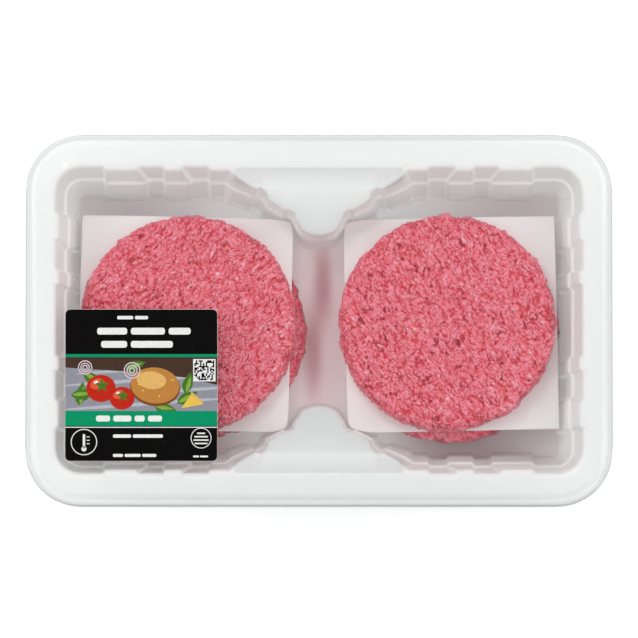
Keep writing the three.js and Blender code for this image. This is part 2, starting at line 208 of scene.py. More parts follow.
def blotch_group():
    """Mixes two colours by soft noise over the object."""
    group, given, made = new_group(
        "soft_blotches",
        [("Colour A", "NodeSocketColor", (1, 1, 1, 1)), ("Colour B", "NodeSocketColor", (0, 0, 0, 1)),
         ("Scale", "NodeSocketFloat", 60.0), ("Detail", "NodeSocketFloat", 4.0)],
        [("Colour", "NodeSocketColor"), ("Mask", "NodeSocketFloat")],
    )
    place = add_node(group, "ShaderNodeTexCoord")
    noise = add_node(group, "ShaderNodeTexNoise")
    ramp = add_node(group, "ShaderNodeMapRange")
    set_inputs(ramp, From_Min=BLOTCH_LOW, From_Max=BLOTCH_HIGH)
    mix = add_node(group, "ShaderNodeMix", data_type="RGBA")
    link = group.links.new
    link(place.outputs["Object"], noise.inputs["Vector"])
    link(given.outputs["Scale"], noise.inputs["Scale"])
    link(given.outputs["Detail"], noise.inputs["Detail"])
    link(noise.outputs["Fac"], ramp.inputs["Value"])
    link(ramp.outputs["Result"], mix.inputs["Factor"])
    link(given.outputs["Colour A"], mix.inputs["A"])
    link(given.outputs["Colour B"], mix.inputs["B"])
    link(mix.outputs["Result"], made.inputs["Colour"])
    link(ramp.outputs["Result"], made.inputs["Mask"])
    return group


def grain_group():
    """A fine uneven height, for bump and for small changes of roughness."""
    group, given, made = new_group(
        "fine_grain",
        [("Scale", "NodeSocketFloat", 900.0), ("Roughness Low", "NodeSocketFloat", 0.3),
         ("Roughness High", "NodeSocketFloat", 0.5)],
        [("Height", "NodeSocketFloat"), ("Roughness", "NodeSocketFloat")],
    )
    place = add_node(group, "ShaderNodeTexCoord")
    noise = add_node(group, "ShaderNodeTexNoise")
    set_inputs(noise, Detail=GRAIN_DETAIL)
    spread = add_node(group, "ShaderNodeMapRange")
    link = group.links.new
    link(place.outputs["Object"], noise.inputs["Vector"])
    link(given.outputs["Scale"], noise.inputs["Scale"])
    link(noise.outputs["Fac"], spread.inputs["Value"])
    link(given.outputs["Roughness Low"], spread.inputs["To Min"])
    link(given.outputs["Roughness High"], spread.inputs["To Max"])
    link(noise.outputs["Fac"], made.inputs["Height"])
    link(spread.outputs["Result"], made.inputs["Roughness"])
    return group


def spot_group():
    """A soft oval mask round a point, all in metres on the object."""
    group, given, made = new_group(
        "soft_spot",
        [("Centre", "NodeSocketVector", (0, 0, 0)), ("Half Size", "NodeSocketVector", (1, 1, 1))],
        [("Mask", "NodeSocketFloat")],
    )
    place = add_node(group, "ShaderNodeTexCoord")
    shift = add_node(group, "ShaderNodeVectorMath", operation="SUBTRACT")
    squeeze = add_node(group, "ShaderNodeVectorMath", operation="DIVIDE")
    reach = add_node(group, "ShaderNodeVectorMath", operation="LENGTH")
    fade = add_node(group, "ShaderNodeMapRange", interpolation_type="SMOOTHERSTEP")
    set_inputs(fade, To_Min=1.0, To_Max=0.0)
    link = group.links.new
    link(place.outputs["Object"], shift.inputs[0])
    link(given.outputs["Centre"], shift.inputs[1])
    link(shift.outputs["Vector"], squeeze.inputs[0])
    link(given.outputs["Half Size"], squeeze.inputs[1])
    link(squeeze.outputs["Vector"], reach.inputs[0])
    link(reach.outputs["Value"], fade.inputs["Value"])
    link(fade.outputs["Result"], made.inputs["Mask"])
    return group


BLOTCHES = blotch_group()
GRAIN = grain_group()
SPOT = spot_group()
print("node groups:", [group.name for group in (BLOTCHES, GRAIN, SPOT)])

# %% [markdown]
# ### Put the groups to work
# The groups only give colours, masks and heights, and the shader stays in each material. Most
# finishes here take a colour and the same fine grain, so one helper joins those to the shader.


# %% Use a group in a material
def place_group(tree, group, **values):
    """A node that uses a group, with its inputs set."""
    node = add_node(tree, "ShaderNodeGroup", node_tree=group)
    set_inputs(node, **values)
    return node


def dress(tree, shader, colour, grain, strength, depth_mm):
    """Feeds a shader its colour, and the grain both as roughness and as bumps some mm deep."""
    bump = add_node(tree, "ShaderNodeBump")
    set_inputs(bump, Strength=strength, Distance=depth_mm * MM)
    tree.links.new(colour, shader.inputs["Base Color"])
    tree.links.new(grain.outputs["Roughness"], shader.inputs["Roughness"])
    tree.links.new(grain.outputs["Height"], bump.inputs["Height"])
    tree.links.new(bump.outputs["Normal"], shader.inputs["Normal"])


def linear(red, green, blue):
    """A colour as read off a screen, from 0 to 255, in the straight scale that shaders use."""
    def straight(value):
        value /= 255
        return value / 12.92 if value <= 0.04045 else ((value + 0.055) / 1.055) ** 2.4
    return (straight(red), straight(green), straight(blue), 1.0)


def mixed(tree, mask, first, second, blend="MIX"):
    """A node that mixes two colours, each a plain colour or a socket, by a mask socket."""
    mix = add_node(tree, "ShaderNodeMix", data_type="RGBA", blend_type=blend)
    tree.links.new(mask, mix.inputs["Factor"])
    for label, colour in (("A", first), ("B", second)):
        if isinstance(colour, tuple):
            mix.inputs[label].default_value = colour
        else:
            tree.links.new(colour, mix.inputs[label])
    return mix.outputs["Result"]


# %% [markdown]
# ## The tray
# The real tray is one white sheet, heated and sucked into a mould, so every edge is rounded and
# the sheet has the same thickness everywhere. It could be cut from blocks with Booleans, but a
# formed sheet is one skin, so it is lofted: rings of points run round the tray, from the middle
# of the underside out to the lip, over it and down into the wells. The driving sizes are those
# of the solid model.

# %% The tray's sizes in mm
TRAY_LENGTH, TRAY_WIDTH, TRAY_HEIGHT = BOX["tray"][1] - BOX["tray"][0]
TRAY_CORNER_RADIUS = 28
LIP_WIDTH, LIP_DROP, SHEET = 4.1, 6, 1
HALF_LENGTH, HALF_WIDTH, OPENING_CORNER_RADIUS = 131, 76, 14
LEDGE_DEPTH, LEDGE_WIDTH, LEDGE_DROP = 17.5, 1.1, 1.2
WALL_SLOPE = math.tan(math.radians(13.6))
FOOT_ROUND, EDGE_ROUND, EDGE_SPREAD, FLOOR_TOP = 1.6, 0.7, 1.5, SHEET
FLUTE_DEPTH, FLUTE_STEP, MIDDLE_FLUTE_END = 1.75, 1.3, 17.5
SHORT_WALL_FLUTES = [(26, 40)]
LONG_WALL_FLUTES = [(78, 90.5), (55.5, 68.5)]
CORNER_RECESS_X, CORNER_RECESS_Y, CORNER_STEPS = 108, 54.5, 7
SHORT_FLUTE_SLANT, LONG_FLUTE_SLANT = 3, 4.8
TONGUE_DROP, TONGUE_SLOPE_RUN, SLOPE_SHARE = 5, 10, 0.8
TONGUE_ROOT = np.array([40.5, 71.0])
TONGUE_SHOULDER = np.array([9.5, 48.0])
TONGUE_TIP_Y, TONGUE_BEVEL = 43, 0.7
TONGUE_WALL_START_X, TONGUE_WALL_DRIFT, TONGUE_LEAN = 44, 3, 0.35
TONGUE_TIP_SHARES = (0.35, 0.7, 1)
FLANK_PROFILE = [
    (0, 0), (8.6, 1), (10.4, 1.2), (11.4, 3.2), (15.6, 3.2), (18.6, 0.9),
    (26, 1.5), (28.4, 1.5), (29.6, 3.2), (32.6, 3.2), (35.6, 1), (38.6, 0),
]
print("tray in mm:", round(TRAY_LENGTH, 1), round(TRAY_WIDTH, 1), round(TRAY_HEIGHT, 1))

# %% [markdown]
# ### The opening's edge
# The edge has flutes, recessed corners and two tongues. Only a quarter of it is described, walked
# from the middle of a short side to the middle of a long side, and mirroring gives the rest.
# Each point also carries the way into the well, how far the wall drifts on its way down, and
# its place on the flange's straight edge, where a tongue's slope begins.


# %% Walk a quarter of the edge
def rim_point(x, y, into, drift=(0, 0), edge=None, lean=1):
    return {"rim": (x, y), "into": into, "drift": drift, "edge": edge or (x, y),
            "tongue": edge is not None, "lean": lean}


def short_wall(y, depth, slant=0):
    return rim_point(HALF_LENGTH + depth, y, (-1, 0), (0, -slant))


def long_wall(x, depth, slant=0):
    return rim_point(x, HALF_WIDTH + depth, (0, -1), (-slant, 0))


def flute(wall, span, slant):
    near, far = span
    return [wall(near - FLUTE_STEP, 0), wall(near, FLUTE_DEPTH),
            wall(far, FLUTE_DEPTH, slant), wall(far + FLUTE_STEP, 0, slant)]


def corner_arc():
    centre_x = HALF_LENGTH + FLUTE_DEPTH - OPENING_CORNER_RADIUS
    centre_y = HALF_WIDTH + FLUTE_DEPTH - OPENING_CORNER_RADIUS
    points = []
    for step in range(CORNER_STEPS + 1):
        angle = math.pi / 2 * step / CORNER_STEPS
        c, s = math.cos(angle), math.sin(angle)
        place = (centre_x + OPENING_CORNER_RADIUS * c, centre_y + OPENING_CORNER_RADIUS * s)
        points.append(rim_point(*place, (-c, -s)))
    return points


FLANK = (TONGUE_SHOULDER - TONGUE_ROOT) / np.linalg.norm(TONGUE_SHOULDER - TONGUE_ROOT)
OFF_FLANK = np.array([-FLANK[1], FLANK[0]])
FLANK_LENGTH = FLANK_PROFILE[-1][0]


def lean_at(distance):
    """The share of the walls' slope along a flank, for the wall is steeper at the tongue's tip."""
    return 1 + (TONGUE_LEAN - 1) * np.clip(distance / FLANK_LENGTH, 0, 1)


def tongue_points():
    points = []
    for distance, depth in FLANK_PROFILE:
        place = TONGUE_ROOT + FLANK * distance - OFF_FLANK * depth
        edge_x = TONGUE_ROOT[0] + (TONGUE_SHOULDER[0] - TONGUE_ROOT[0]) * distance / FLANK_LENGTH
        edge = (edge_x, HALF_WIDTH)
        points.append(rim_point(*place, tuple(OFF_FLANK), edge=edge, lean=lean_at(distance)))
    flank_angle = math.atan2(OFF_FLANK[1], OFF_FLANK[0])
    for number, share in enumerate(TONGUE_TIP_SHARES, start=1):
        turn = share * math.pi / 2
        angle = flank_angle + (-math.pi / 2 - flank_angle) * share
        x = TONGUE_SHOULDER[0] * math.cos(turn)
        y = TONGUE_SHOULDER[1] - (TONGUE_SHOULDER[1] - TONGUE_TIP_Y) * math.sin(turn)
        edge_x = TONGUE_SHOULDER[0] * (3 - number) / 3
        into = (math.cos(angle), math.sin(angle))
        points.append(rim_point(x, y, into, edge=(edge_x, HALF_WIDTH), lean=TONGUE_LEAN))
    return points


# %% [markdown]
# ### Mirror the quarter
# The flutes, the corner and half a tongue make one quarter, in order. Mirroring it about both
# middle lines gives the whole edge with the same number of points in each quarter.


# %% Join the whole edge
def quarter_rim():
    points = [
        short_wall(0, FLUTE_DEPTH),
        short_wall(MIDDLE_FLUTE_END, FLUTE_DEPTH, 1),
        short_wall(MIDDLE_FLUTE_END + FLUTE_STEP, 0, 1),
    ]
    for span in SHORT_WALL_FLUTES:
        points += flute(short_wall, span, SHORT_FLUTE_SLANT)
    points += [short_wall(CORNER_RECESS_Y - FLUTE_STEP, 0), short_wall(CORNER_RECESS_Y, FLUTE_DEPTH)]
    points += corner_arc()
    points += [long_wall(CORNER_RECESS_X, FLUTE_DEPTH), long_wall(CORNER_RECESS_X - FLUTE_STEP, 0)]
    for span in LONG_WALL_FLUTES:
        points += flute(long_wall, span, LONG_FLUTE_SLANT)[::-1]
    points.append(long_wall(TONGUE_WALL_START_X, 0, -TONGUE_WALL_DRIFT))
    return points + tongue_points()


def whole_rim():
    """Arrays for the whole edge, counter-clockwise from the middle of the +X side."""
    quarter = quarter_rim()
    order = [(p, 1, 1) for p in quarter] + [(p, -1, 1) for p in quarter[-2::-1]]
    order += [(p, sx, -1) for p, sx, _ in order[-2:0:-1]]
    rim = {}
    for key in ("rim", "into", "drift", "edge"):
        rim[key] = np.array([[p[key][0] * sx, p[key][1] * sy] for p, sx, sy in order], float)
    for key in ("tongue", "lean"):
        rim[key] = np.array([p[key] for p, _, _ in order])
    return rim


RIM = whole_rim()
print("points round the opening:", len(RIM["rim"]), "on the tongues:", int(RIM["tongue"].sum()))

# %% [markdown]
# ### Rings down the wall
# Each ring takes the same points to another level. The walls lean in as they go down, with a
# small ledge half way, and the tongues start lower because the flange slopes down to them.


# %% Rings of points
def wall_inset(depth):
    ledge = np.clip((depth - LEDGE_DEPTH) / LEDGE_DROP, 0, 1)
    return EDGE_ROUND + depth * WALL_SLOPE + ledge * LEDGE_WIDTH


TONGUE_RUN = np.clip((HALF_WIDTH - np.abs(RIM["rim"][:, 1])) / TONGUE_SLOPE_RUN, 0, 1)
RIM_DEPTH = np.where(RIM["tongue"], TONGUE_DROP * TONGUE_RUN, 0)
START_INSET = np.where(RIM["tongue"], wall_inset(RIM_DEPTH), 0)
OUTWARD = np.where(RIM["tongue"][:, None],
                   np.stack([0 * RIM_DEPTH, np.sign(RIM["edge"][:, 1])], axis=1), -RIM["into"])


def wall_ring(depth, outward=0.0, z=None):
    depth = np.broadcast_to(np.asarray(depth, float), RIM_DEPTH.shape)
    inset = np.maximum(wall_inset(depth) - START_INSET, 0) * RIM["lean"] - outward
    share = np.minimum(depth / LEDGE_DEPTH, 1)
    place = RIM["rim"] + RIM["into"] * inset[:, None] + RIM["drift"] * share[:, None]
    height = TRAY_HEIGHT - depth if z is None else np.full(len(place), float(z))
    return np.column_stack([place, height])


def shelf_ring(outward, down):
    return wall_ring(np.where(RIM["tongue"], RIM_DEPTH, TONGUE_DROP) + down, outward)


def slope_ring(outward, down):
    ring = wall_ring(EDGE_ROUND + down, outward)
    reach = HALF_WIDTH - np.abs(RIM["rim"][:, 1])
    share = np.minimum(TONGUE_SLOPE_RUN / np.maximum(reach, 1), SLOPE_SHARE)
    place = RIM["edge"] + (RIM["rim"] - RIM["edge"]) * share[:, None]
    drop = TONGUE_DROP * np.minimum(share * reach / TONGUE_SLOPE_RUN, 1)
    on_tongue = np.column_stack([place, TRAY_HEIGHT - drop - down])
    return np.where(RIM["tongue"][:, None], on_tongue, ring)


def edge_ring(outward, z):
    return np.column_stack([RIM["edge"] + OUTWARD * outward, np.full(len(OUTWARD), float(z))])


def outer_ring(inset, z):
    centre = np.array([TRAY_LENGTH, TRAY_WIDTH]) / 2 - TRAY_CORNER_RADIUS
    on_corner = np.abs(OUTWARD).min(axis=1) > 1e-9
    reach = np.minimum(np.abs(RIM["edge"]), centre)
    reach[on_corner] = centre
    across = np.abs(OUTWARD[:, 0]) > np.abs(OUTWARD[:, 1])
    reach[across, 0] = centre[0]
    reach[~across, 1] = centre[1]
    place = reach * np.sign(RIM["edge"]) + OUTWARD * (TRAY_CORNER_RADIUS - inset)
    return np.column_stack([place, np.full(len(place), float(z))])


# %% [markdown]
# ### Round every edge
# A formed sheet has no sharp edge. Each corner of a line is replaced by a short curve: first
# along every ring, then across the rings. The number of points stays equal in every line, so
# the grid of faces stays whole.


# %% Rounding helpers
def rounded_line(grid, radius, steps, closed):
    """Each corner along axis 1 of an (m, n, 3) grid becomes a curve of steps points."""
    before, after = np.roll(grid, 1, axis=1), np.roll(grid, -1, axis=1)
    if not closed:
        before[:, 0], after[:, -1] = grid[:, 0], grid[:, -1]
    radius = np.broadcast_to(radius, grid.shape[:2])

    def toward(other):
        gap = other - grid
        length = np.linalg.norm(gap, axis=2)
        reach = np.minimum(radius, length * 0.48) / np.maximum(length, 1e-9)
        return grid + gap * reach[..., None]

    start, end = toward(before), toward(after)
    shares = np.linspace(0, 1, steps)
    curves = [start * (1 - t) ** 2 + grid * 2 * t * (1 - t) + end * t**2 for t in shares]
    stacked = np.stack(curves, axis=2)
    return stacked.reshape(grid.shape[0], -1, 3)


def grid_faces(rows, columns, closed=False):
    """Quads over a grid of points, row by row, where closed joins the last column to the first."""
    across = columns if closed else columns - 1
    row, column = np.meshgrid(np.arange(rows - 1), np.arange(across), indexing="ij")
    a = (row * columns + column).ravel()
    b = (row * columns + (column + 1) % columns).ravel()
    return np.stack([a, b, b + columns, a + columns], axis=1)


# %% [markdown]
# ### Loft the sheet
# The rings are listed from the underside out and over the lip into the wells, each with the radius of
# the edge that it makes. Three masks then say where the lip is, where its outer edge turns down, and
# where the flange slopes down to the tongues, for the material to darken them with painted shade.

# %% Build the tray
FOOT = TRAY_HEIGHT - FLOOR_TOP
ROUND_STEPS, OUTLINE_ROUND, RIM_ROUND = 4, 3.0, 0.75
LIP_FADE, LIP_EDGE_FADE, SLOPE_FADE, FLAT_END_SHARE = (3.4, 6.0), (0.1, 1.4), 1.2, 0.45
LIP_PROFILE = [  # how far in from the outline, how far below the flange, and the edge's radius
    (0.0, LIP_DROP, 0.25), (0.1, 2.6, 0.6), (0.5, 1.0, 0.5), (1.4, 0.6, 0.6), (2.6, 0.9, 0.6),
    (3.4, 1.5, 0.6), (5.4, 0.0, 1.2),
]
UNDER = [
    (wall_ring(FOOT, -(FOOT_ROUND - SHEET * 0.5), z=0), 1.2),
    (wall_ring(FOOT - FOOT_ROUND, SHEET), 1.5),
    (wall_ring(LEDGE_DEPTH + LEDGE_DROP, SHEET), 0.6),
    (wall_ring(LEDGE_DEPTH, SHEET), 0.6),
    (shelf_ring(SHEET, SHEET), 1.0),
    (slope_ring(SHEET, SHEET), 0.8),
    (edge_ring(SHEET, TRAY_HEIGHT - SHEET), 1.0),
    (outer_ring(LIP_WIDTH, TRAY_HEIGHT - SHEET), 0.8),
    (outer_ring(LIP_WIDTH * 0.5, TRAY_HEIGHT - LIP_DROP * 0.3 - SHEET * 0.4), 0.8),
    (outer_ring(SHEET * 0.8, TRAY_HEIGHT - LIP_DROP), 0.2),
]
OVER = [(outer_ring(inset, TRAY_HEIGHT - drop), radius) for inset, drop, radius in LIP_PROFILE]
OVER += [
    (edge_ring(EDGE_SPREAD, TRAY_HEIGHT), 1.4),
    (slope_ring(0, 0.6), 1.4),
    (shelf_ring(0, 0), 0.5),
    (shelf_ring(0, TONGUE_BEVEL), 0.5),
    (wall_ring(LEDGE_DEPTH), 1.5),
    (wall_ring(LEDGE_DEPTH + LEDGE_DROP), 1.5),
    (wall_ring(FOOT - FOOT_ROUND), 1.4),
    (wall_ring(FOOT, -FOOT_ROUND, z=FLOOR_TOP), 0.9),
]


# %% [markdown]
# ### Join the rings and shade by place
# Faces between the rings make the skin, and one large face closes each end, the underside and
# the floor. The masks come from the distance to the outline and from the height.


# %% Skin and masks of the tray
def outline_distance(points):
    """How far in from the tray's outline each point is, seen from above."""
    over = np.abs(points[:, :2]) - (np.array([TRAY_LENGTH, TRAY_WIDTH]) / 2 - TRAY_CORNER_RADIUS)
    beyond = np.linalg.norm(np.maximum(over, 0), axis=1) + np.minimum(over.max(axis=1), 0)
    return TRAY_CORNER_RADIUS - beyond


# The share of painted shade on the slopes down to the tongues.
def slope_shade_share(points):
    """1 on the slopes down to the tongues, less on their flat ends, and 0 elsewhere."""
    x, y, z = np.abs(points).T
    over_tongue = (x < TONGUE_ROOT[0] + 2) & (z > TRAY_HEIGHT - TONGUE_DROP - TONGUE_BEVEL)
    share = step_up(HALF_WIDTH + SLOPE_FADE - y, 0, SLOPE_FADE)
    flat_end = FLAT_END_SHARE * step_up(TRAY_HEIGHT - z, TONGUE_DROP * 0.7, TONGUE_DROP)
    return over_tongue * (share - flat_end * share)


def build_tray(material):
    rings = UNDER + OVER
    grid = np.stack([ring for ring, _ in rings])
    is_outer = np.array([np.abs(ring[:, 1]).max() > HALF_WIDTH + 5 for ring, _ in rings])
    plan_radius = np.where(is_outer, OUTLINE_ROUND, RIM_ROUND)[:, None]
    grid = rounded_line(grid, plan_radius, ROUND_STEPS, closed=True)
    profile_radius = np.array([radius for _, radius in rings])[None, :]
    grid = rounded_line(grid.transpose(1, 0, 2), profile_radius, ROUND_STEPS, closed=False)
    grid = grid.transpose(1, 0, 2)
    rows, columns = grid.shape[:2]
    faces = grid_faces(rows, columns, closed=True).tolist()
    faces.append(list(range(columns))[::-1])
    faces.append([(rows - 1) * columns + k for k in range(columns)])
    points = grid.reshape(-1, 3)
    tray = add_piece("pressed_tray", points, faces, [material], ["tray"])
    keep_flats_flat(tray)
    from_edge = outline_distance(points)
    set_mask(tray, "lip", 1 - step_up(from_edge, *LIP_FADE))
    set_mask(tray, "lip_edge", 1 - step_up(from_edge, *LIP_EDGE_FADE))
    set_mask(tray, "slope", slope_shade_share(points))


# %% [markdown]
# ### White pressed plastic
# The sheet is white polypropylene: bright, a little glossy, and thin enough for light to come through.
# Subsurface scattering gives that glow, where a plain white would look like paper. Soft spots
# multiplied over the white are painted shade on the floor and the feet of the walls, most of all
# between the stacks, tinted pink as painted light bounced off the meat, and the three masks paint shade
# on the lip and the slopes.


# %% Tray plastic
# Painted shade: soft spots that darken the floor and the feet of the walls where the stacks and walls
# shade them, tinted pink as painted light bounced off the meat.
PAINTED_SHADE_SPOTS = [  # middle and half size in mm, and the colour that the plastic is multiplied by
    ((2, 20, 1), (8, 34, 3), (0.68, 0.46, 0.5, 1)),
    ((-3, -12, 1), (8, 38, 3), (0.68, 0.46, 0.5, 1)),
    ((0, 0, 1), (45, 120, 6), (0.84, 0.64, 0.65, 1)),
    ((68, -64, 1), (62, 24, 6), (0.54, 0.44, 0.45, 1)),
    ((-68, -64, 1), (62, 24, 4), (0.6, 0.46, 0.47, 1)),
    ((95, 0, 1), (95, 190, 6), (0.57, 0.48, 0.49, 1)),
    ((-95, 0, 1), (95, 190, 6), (0.57, 0.48, 0.49, 1)),
    ((102, -72, 12), (38, 18, 26), (0.74, 0.66, 0.66, 1)),
]
LIP_SHADE, EDGE_SHADE = (0.9, 0.9, 0.9, 1), (0.58, 0.58, 0.58, 1)
SLOPE_SHADE = (0.64, 0.63, 0.64, 1)
COOL_WHITE, DULL_WHITE = (0.8, 0.814, 0.812, 1), (0.78, 0.796, 0.794, 1)
GLOW_SHARE, GLOW_DEPTH = 0.9, 5.0


def tray_plastic():
    material, tree, shader = new_material("tray_plastic")
    blotches = place_group(tree, BLOTCHES, Colour_A=COOL_WHITE, Colour_B=DULL_WHITE, Scale=9.0)
    grain = place_group(tree, GRAIN, Scale=140.0, Roughness_Low=0.24, Roughness_High=0.4)
    colour = blotches.outputs["Colour"]
    # Each spot multiplies its painted shade over the white.
    for centre, half, tint in PAINTED_SHADE_SPOTS:
        middle, reach = [c * MM for c in centre], [h * MM for h in half]
        spot = place_group(tree, SPOT, Centre=middle, Half_Size=reach)
        colour = mixed(tree, spot.outputs["Mask"], colour, tint, "MULTIPLY")
    # Painted shade on the lip, on its outer edge and on the slopes down to the tongues.
    for mask, tint in (("lip", LIP_SHADE), ("lip_edge", EDGE_SHADE), ("slope", SLOPE_SHADE)):
        share = add_node(tree, "ShaderNodeAttribute", attribute_name=mask).outputs["Fac"]
        colour = mixed(tree, share, colour, tint, "MULTIPLY")
    dress(tree, shader, colour, grain, 0.15, 0.12)
    set_inputs(shader, IOR=1.49, Subsurface_Weight=GLOW_SHARE,
               Subsurface_Radius=(1.0, 1.0, 1.0), Subsurface_Scale=GLOW_DEPTH * MM)
    return material


build_tray(tray_plastic())

# %% [markdown]
# ## The patties
# A round of ground beef is thousands of short soft strands pressed together. Particles of meat
# would be slow and would not survive the export, so the skin is one dense mesh. Its relief is
# crumbs of two sizes, and cracks along the crumbs' borders that open only here and there. How
# deep a crack is goes to the material as well, because the dark pits are the first thing seen.

# %% The patties' sizes in mm
PATTY_RADIUS, PATTY_THICKNESS, PATTY_EDGE, PATTY_FOOT = 54.2, 12.0, 3.4, 1.8
PATTY_SKINS = {"lower": (64, 15, 0), "upper": (150, 33, 5)}  # rings, rows down the rim, seed
CRUMB, STRAND, FINE = 2.3, 1.2, 0.7
STRAND_TURN, STRAND_STRETCH = {"left": math.radians(50), "right": math.radians(-54)}, 2.1


def patty_centre(node):
    low, high = BOX[node]
    return np.array([(low[0] + high[0]) / 2, (low[1] + high[1]) / 2, low[2]])


# %% [markdown]
# ### One even skin
# A grid of squares or a fan of wedges would crowd its points in places and leave others bare.
# Rings that grow by six points each keep every small face the same size over the flat top, and
# rows of the last ring's points carry on down the rounded rim.


# %% A dense round skin
def widening_faces(inner, count, outer):
    """Triangles between a ring of count points and the next ring out, with six points more."""
    side = count // 6
    sixth, k = np.meshgrid(np.arange(6), np.arange(side + 1), indexing="ij")
    near = inner + (sixth * side + k) % count
    far = sixth * (side + 1) + k
    wide = count + 6
    first = np.stack([near, outer + far % wide, outer + (far + 1) % wide], axis=-1).reshape(-1, 3)
    sixth, k, near, far = (a[:, :-1] for a in (sixth, k, near, far))
    following = inner + (sixth * side + k + 1) % count
    second = np.stack([near, outer + (far + 1) % wide, following], axis=-1).reshape(-1, 3)
    return np.vstack([first, second])


def edge_profile(rows):
    """Radius, height and outward direction down the rim, from the flat top to the underside."""
    places, directions = [], []
    for angle in np.linspace(0, math.pi / 2, rows // 3 + 1)[1:]:
        s, c = math.sin(angle), math.cos(angle)
        places.append((PATTY_RADIUS - PATTY_EDGE * (1 - s), PATTY_THICKNESS - PATTY_EDGE * (1 - c)))
        directions.append((s, c))
    upright_rows = rows - 2 * (rows // 3)
    top = PATTY_THICKNESS - PATTY_EDGE
    for height in np.linspace(top, PATTY_FOOT, upright_rows + 1)[1:]:
        places.append((PATTY_RADIUS, height))
        directions.append((1, 0))
    for angle in np.linspace(0, math.pi / 2, rows // 3 + 1)[1:]:
        s, c = math.sin(angle), math.cos(angle)
        places.append((PATTY_RADIUS - PATTY_FOOT * (1 - c), PATTY_FOOT * (1 - s)))
        directions.append((c, -s))
    return np.array(places), np.array(directions)


def round_skin(rings, rows):
    """Points, directions and faces of a round with an even grid of small faces."""
    flat = PATTY_RADIUS - PATTY_EDGE
    points = [np.array([[0, 0, PATTY_THICKNESS]])]
    faces = [np.array([[0, 1 + k, 1 + (k + 1) % 6] for k in range(6)])]
    start = 1
    for ring in range(1, rings + 1):
        angle = 2 * math.pi * np.arange(6 * ring) / (6 * ring)
        radius = flat * ring / rings
        height = np.full(6 * ring, PATTY_THICKNESS)
        points.append(np.stack([radius * np.cos(angle), radius * np.sin(angle), height], axis=1))
        if ring < rings:
            faces.append(widening_faces(start, 6 * ring, start + 6 * ring))
            start += 6 * ring
    directions = [np.tile([0.0, 0.0, 1.0], (start + 6 * rings, 1))]
    count = 6 * rings
    angle = 2 * math.pi * np.arange(count) / count
    around = np.stack([np.cos(angle), np.sin(angle), 0 * angle], axis=1)
    upright = np.array([0, 0, 1.0])
    for (radius, height), (out, up) in zip(*edge_profile(rows)):
        points.append(around * radius + upright * height)
        directions.append(around * out + upright * up)
        step = np.arange(count)
        a, b = start + step, start + (step + 1) % count
        faces += [np.stack([a, a + count, b + count], axis=1), np.stack([a, b + count, b], axis=1)]
        start += count
    bottom = [list(range(start, start + count))[::-1]]
    return np.vstack(points), np.vstack(directions), np.vstack(faces).tolist() + bottom


# %% [markdown]
# ### Crumbs, strands and cracks
# The relief mostly digs in, apart from the crumbs' small crowns, so the round stays near the
# size that it was pressed to. Two sizes of crumbs are drawn out along the strands, cracks open
# along the borders of the larger ones, and holes, grit and low places come from noise. The rim
# is torn more than the faces, as the press lets it be.


# %% Relief of ground meat
CRACK_WIDTH, CRACKS_FROM, CRACKS_FULL, HOLES_FROM, HOLES_FULL = 0.22, 0.42, 1.35, 0.74, 1.12
CRUMB_RISE, STRAND_RISE, SEAM_DEPTH, GRIT_RISE, LOW_RISE = 0.82, 0.76, 0.4, 0.4, 0.3
SWELL, PIT_DEPTH, FLECKS_FROM = 0.2, 0.75, 0.93
RIM_WIDTH, RIM_TEAR, RIM_LOSS = 6, 1.1, 0.55


def along_strands(points, turn):
    """Turns points to the way that the strands run, and squeezes that way, so crumbs come out long."""
    c, s = math.cos(turn), math.sin(turn)
    along = (points[:, 0] * c + points[:, 1] * s) / STRAND_STRETCH
    return np.column_stack([along, points[:, 1] * c - points[:, 0] * s, points[:, 2]])


def meat_relief(points, turn, seed):
    """Height in mm along the outward direction, then four masks: pits, dips, tone and pale flecks."""
    bend = np.stack([smooth_noise(points, 7.0, seed + k) for k in (11, 12, 13)], axis=1)
    kink = np.stack([smooth_noise(points, 1.6, seed + k) for k in (14, 15, 16)], axis=1)
    bent = along_strands(points + bend * 2.6 + kink * 0.6, turn)
    near, second, tone = crumb_field(bent, CRUMB, seed)
    fine_near, fine_second, fine_tone = crumb_field(bent, STRAND, seed + 40)
    openness = smooth_noise(points, 4.2, seed + 21) + 0.9 * smooth_noise(points, 1.7, seed + 22)
    crack_width = CRACK_WIDTH * step_up(openness, CRACKS_FROM, CRACKS_FULL)
    crack = 1 - step_up(second - near, crack_width * 0.2, crack_width + 0.06)
    crack *= step_up(crack_width, 0.015, 0.1)
    hole_noise = smooth_noise(bent, 1.3, seed + 31) + 0.5 * smooth_noise(points, 0.8, seed + 32)
    hole = step_up(hole_noise + 0.3 * openness, HOLES_FROM, HOLES_FULL)
    pit = np.clip(crack + hole, 0, 1)
    grit = smooth_noise(points, FINE, seed + 51)
    low_place = smooth_noise(bent, 2.6, seed + 53)
    crumbs = 0.55 - near**2 * 1.3
    strands = 0.5 - fine_near**2 * 1.5
    seams = 1 - step_up(fine_second - fine_near, 0, 0.25)
    height = CRUMB_RISE * crumbs + STRAND_RISE * strands - SEAM_DEPTH * seams
    height += GRIT_RISE * grit + LOW_RISE * low_place
    height += SWELL * smooth_noise(points, 8.0, seed + 52) - PIT_DEPTH * pit
    # The dip mask is painted shade: it darkens the valleys between crumbs and strands, and the seams.
    dip = np.clip(0.42 - 0.7 * crumbs - 0.6 * strands + 0.4 * seams - 0.4 * grit, 0, 1)
    fleck = (fine_tone > FLECKS_FROM) * (1 - step_up(fine_near, 0.3, 0.6))
    return height, {"pit": pit, "dip": dip, "tone": 0.5 * tone + 0.5 * fine_tone, "fleck": fleck}


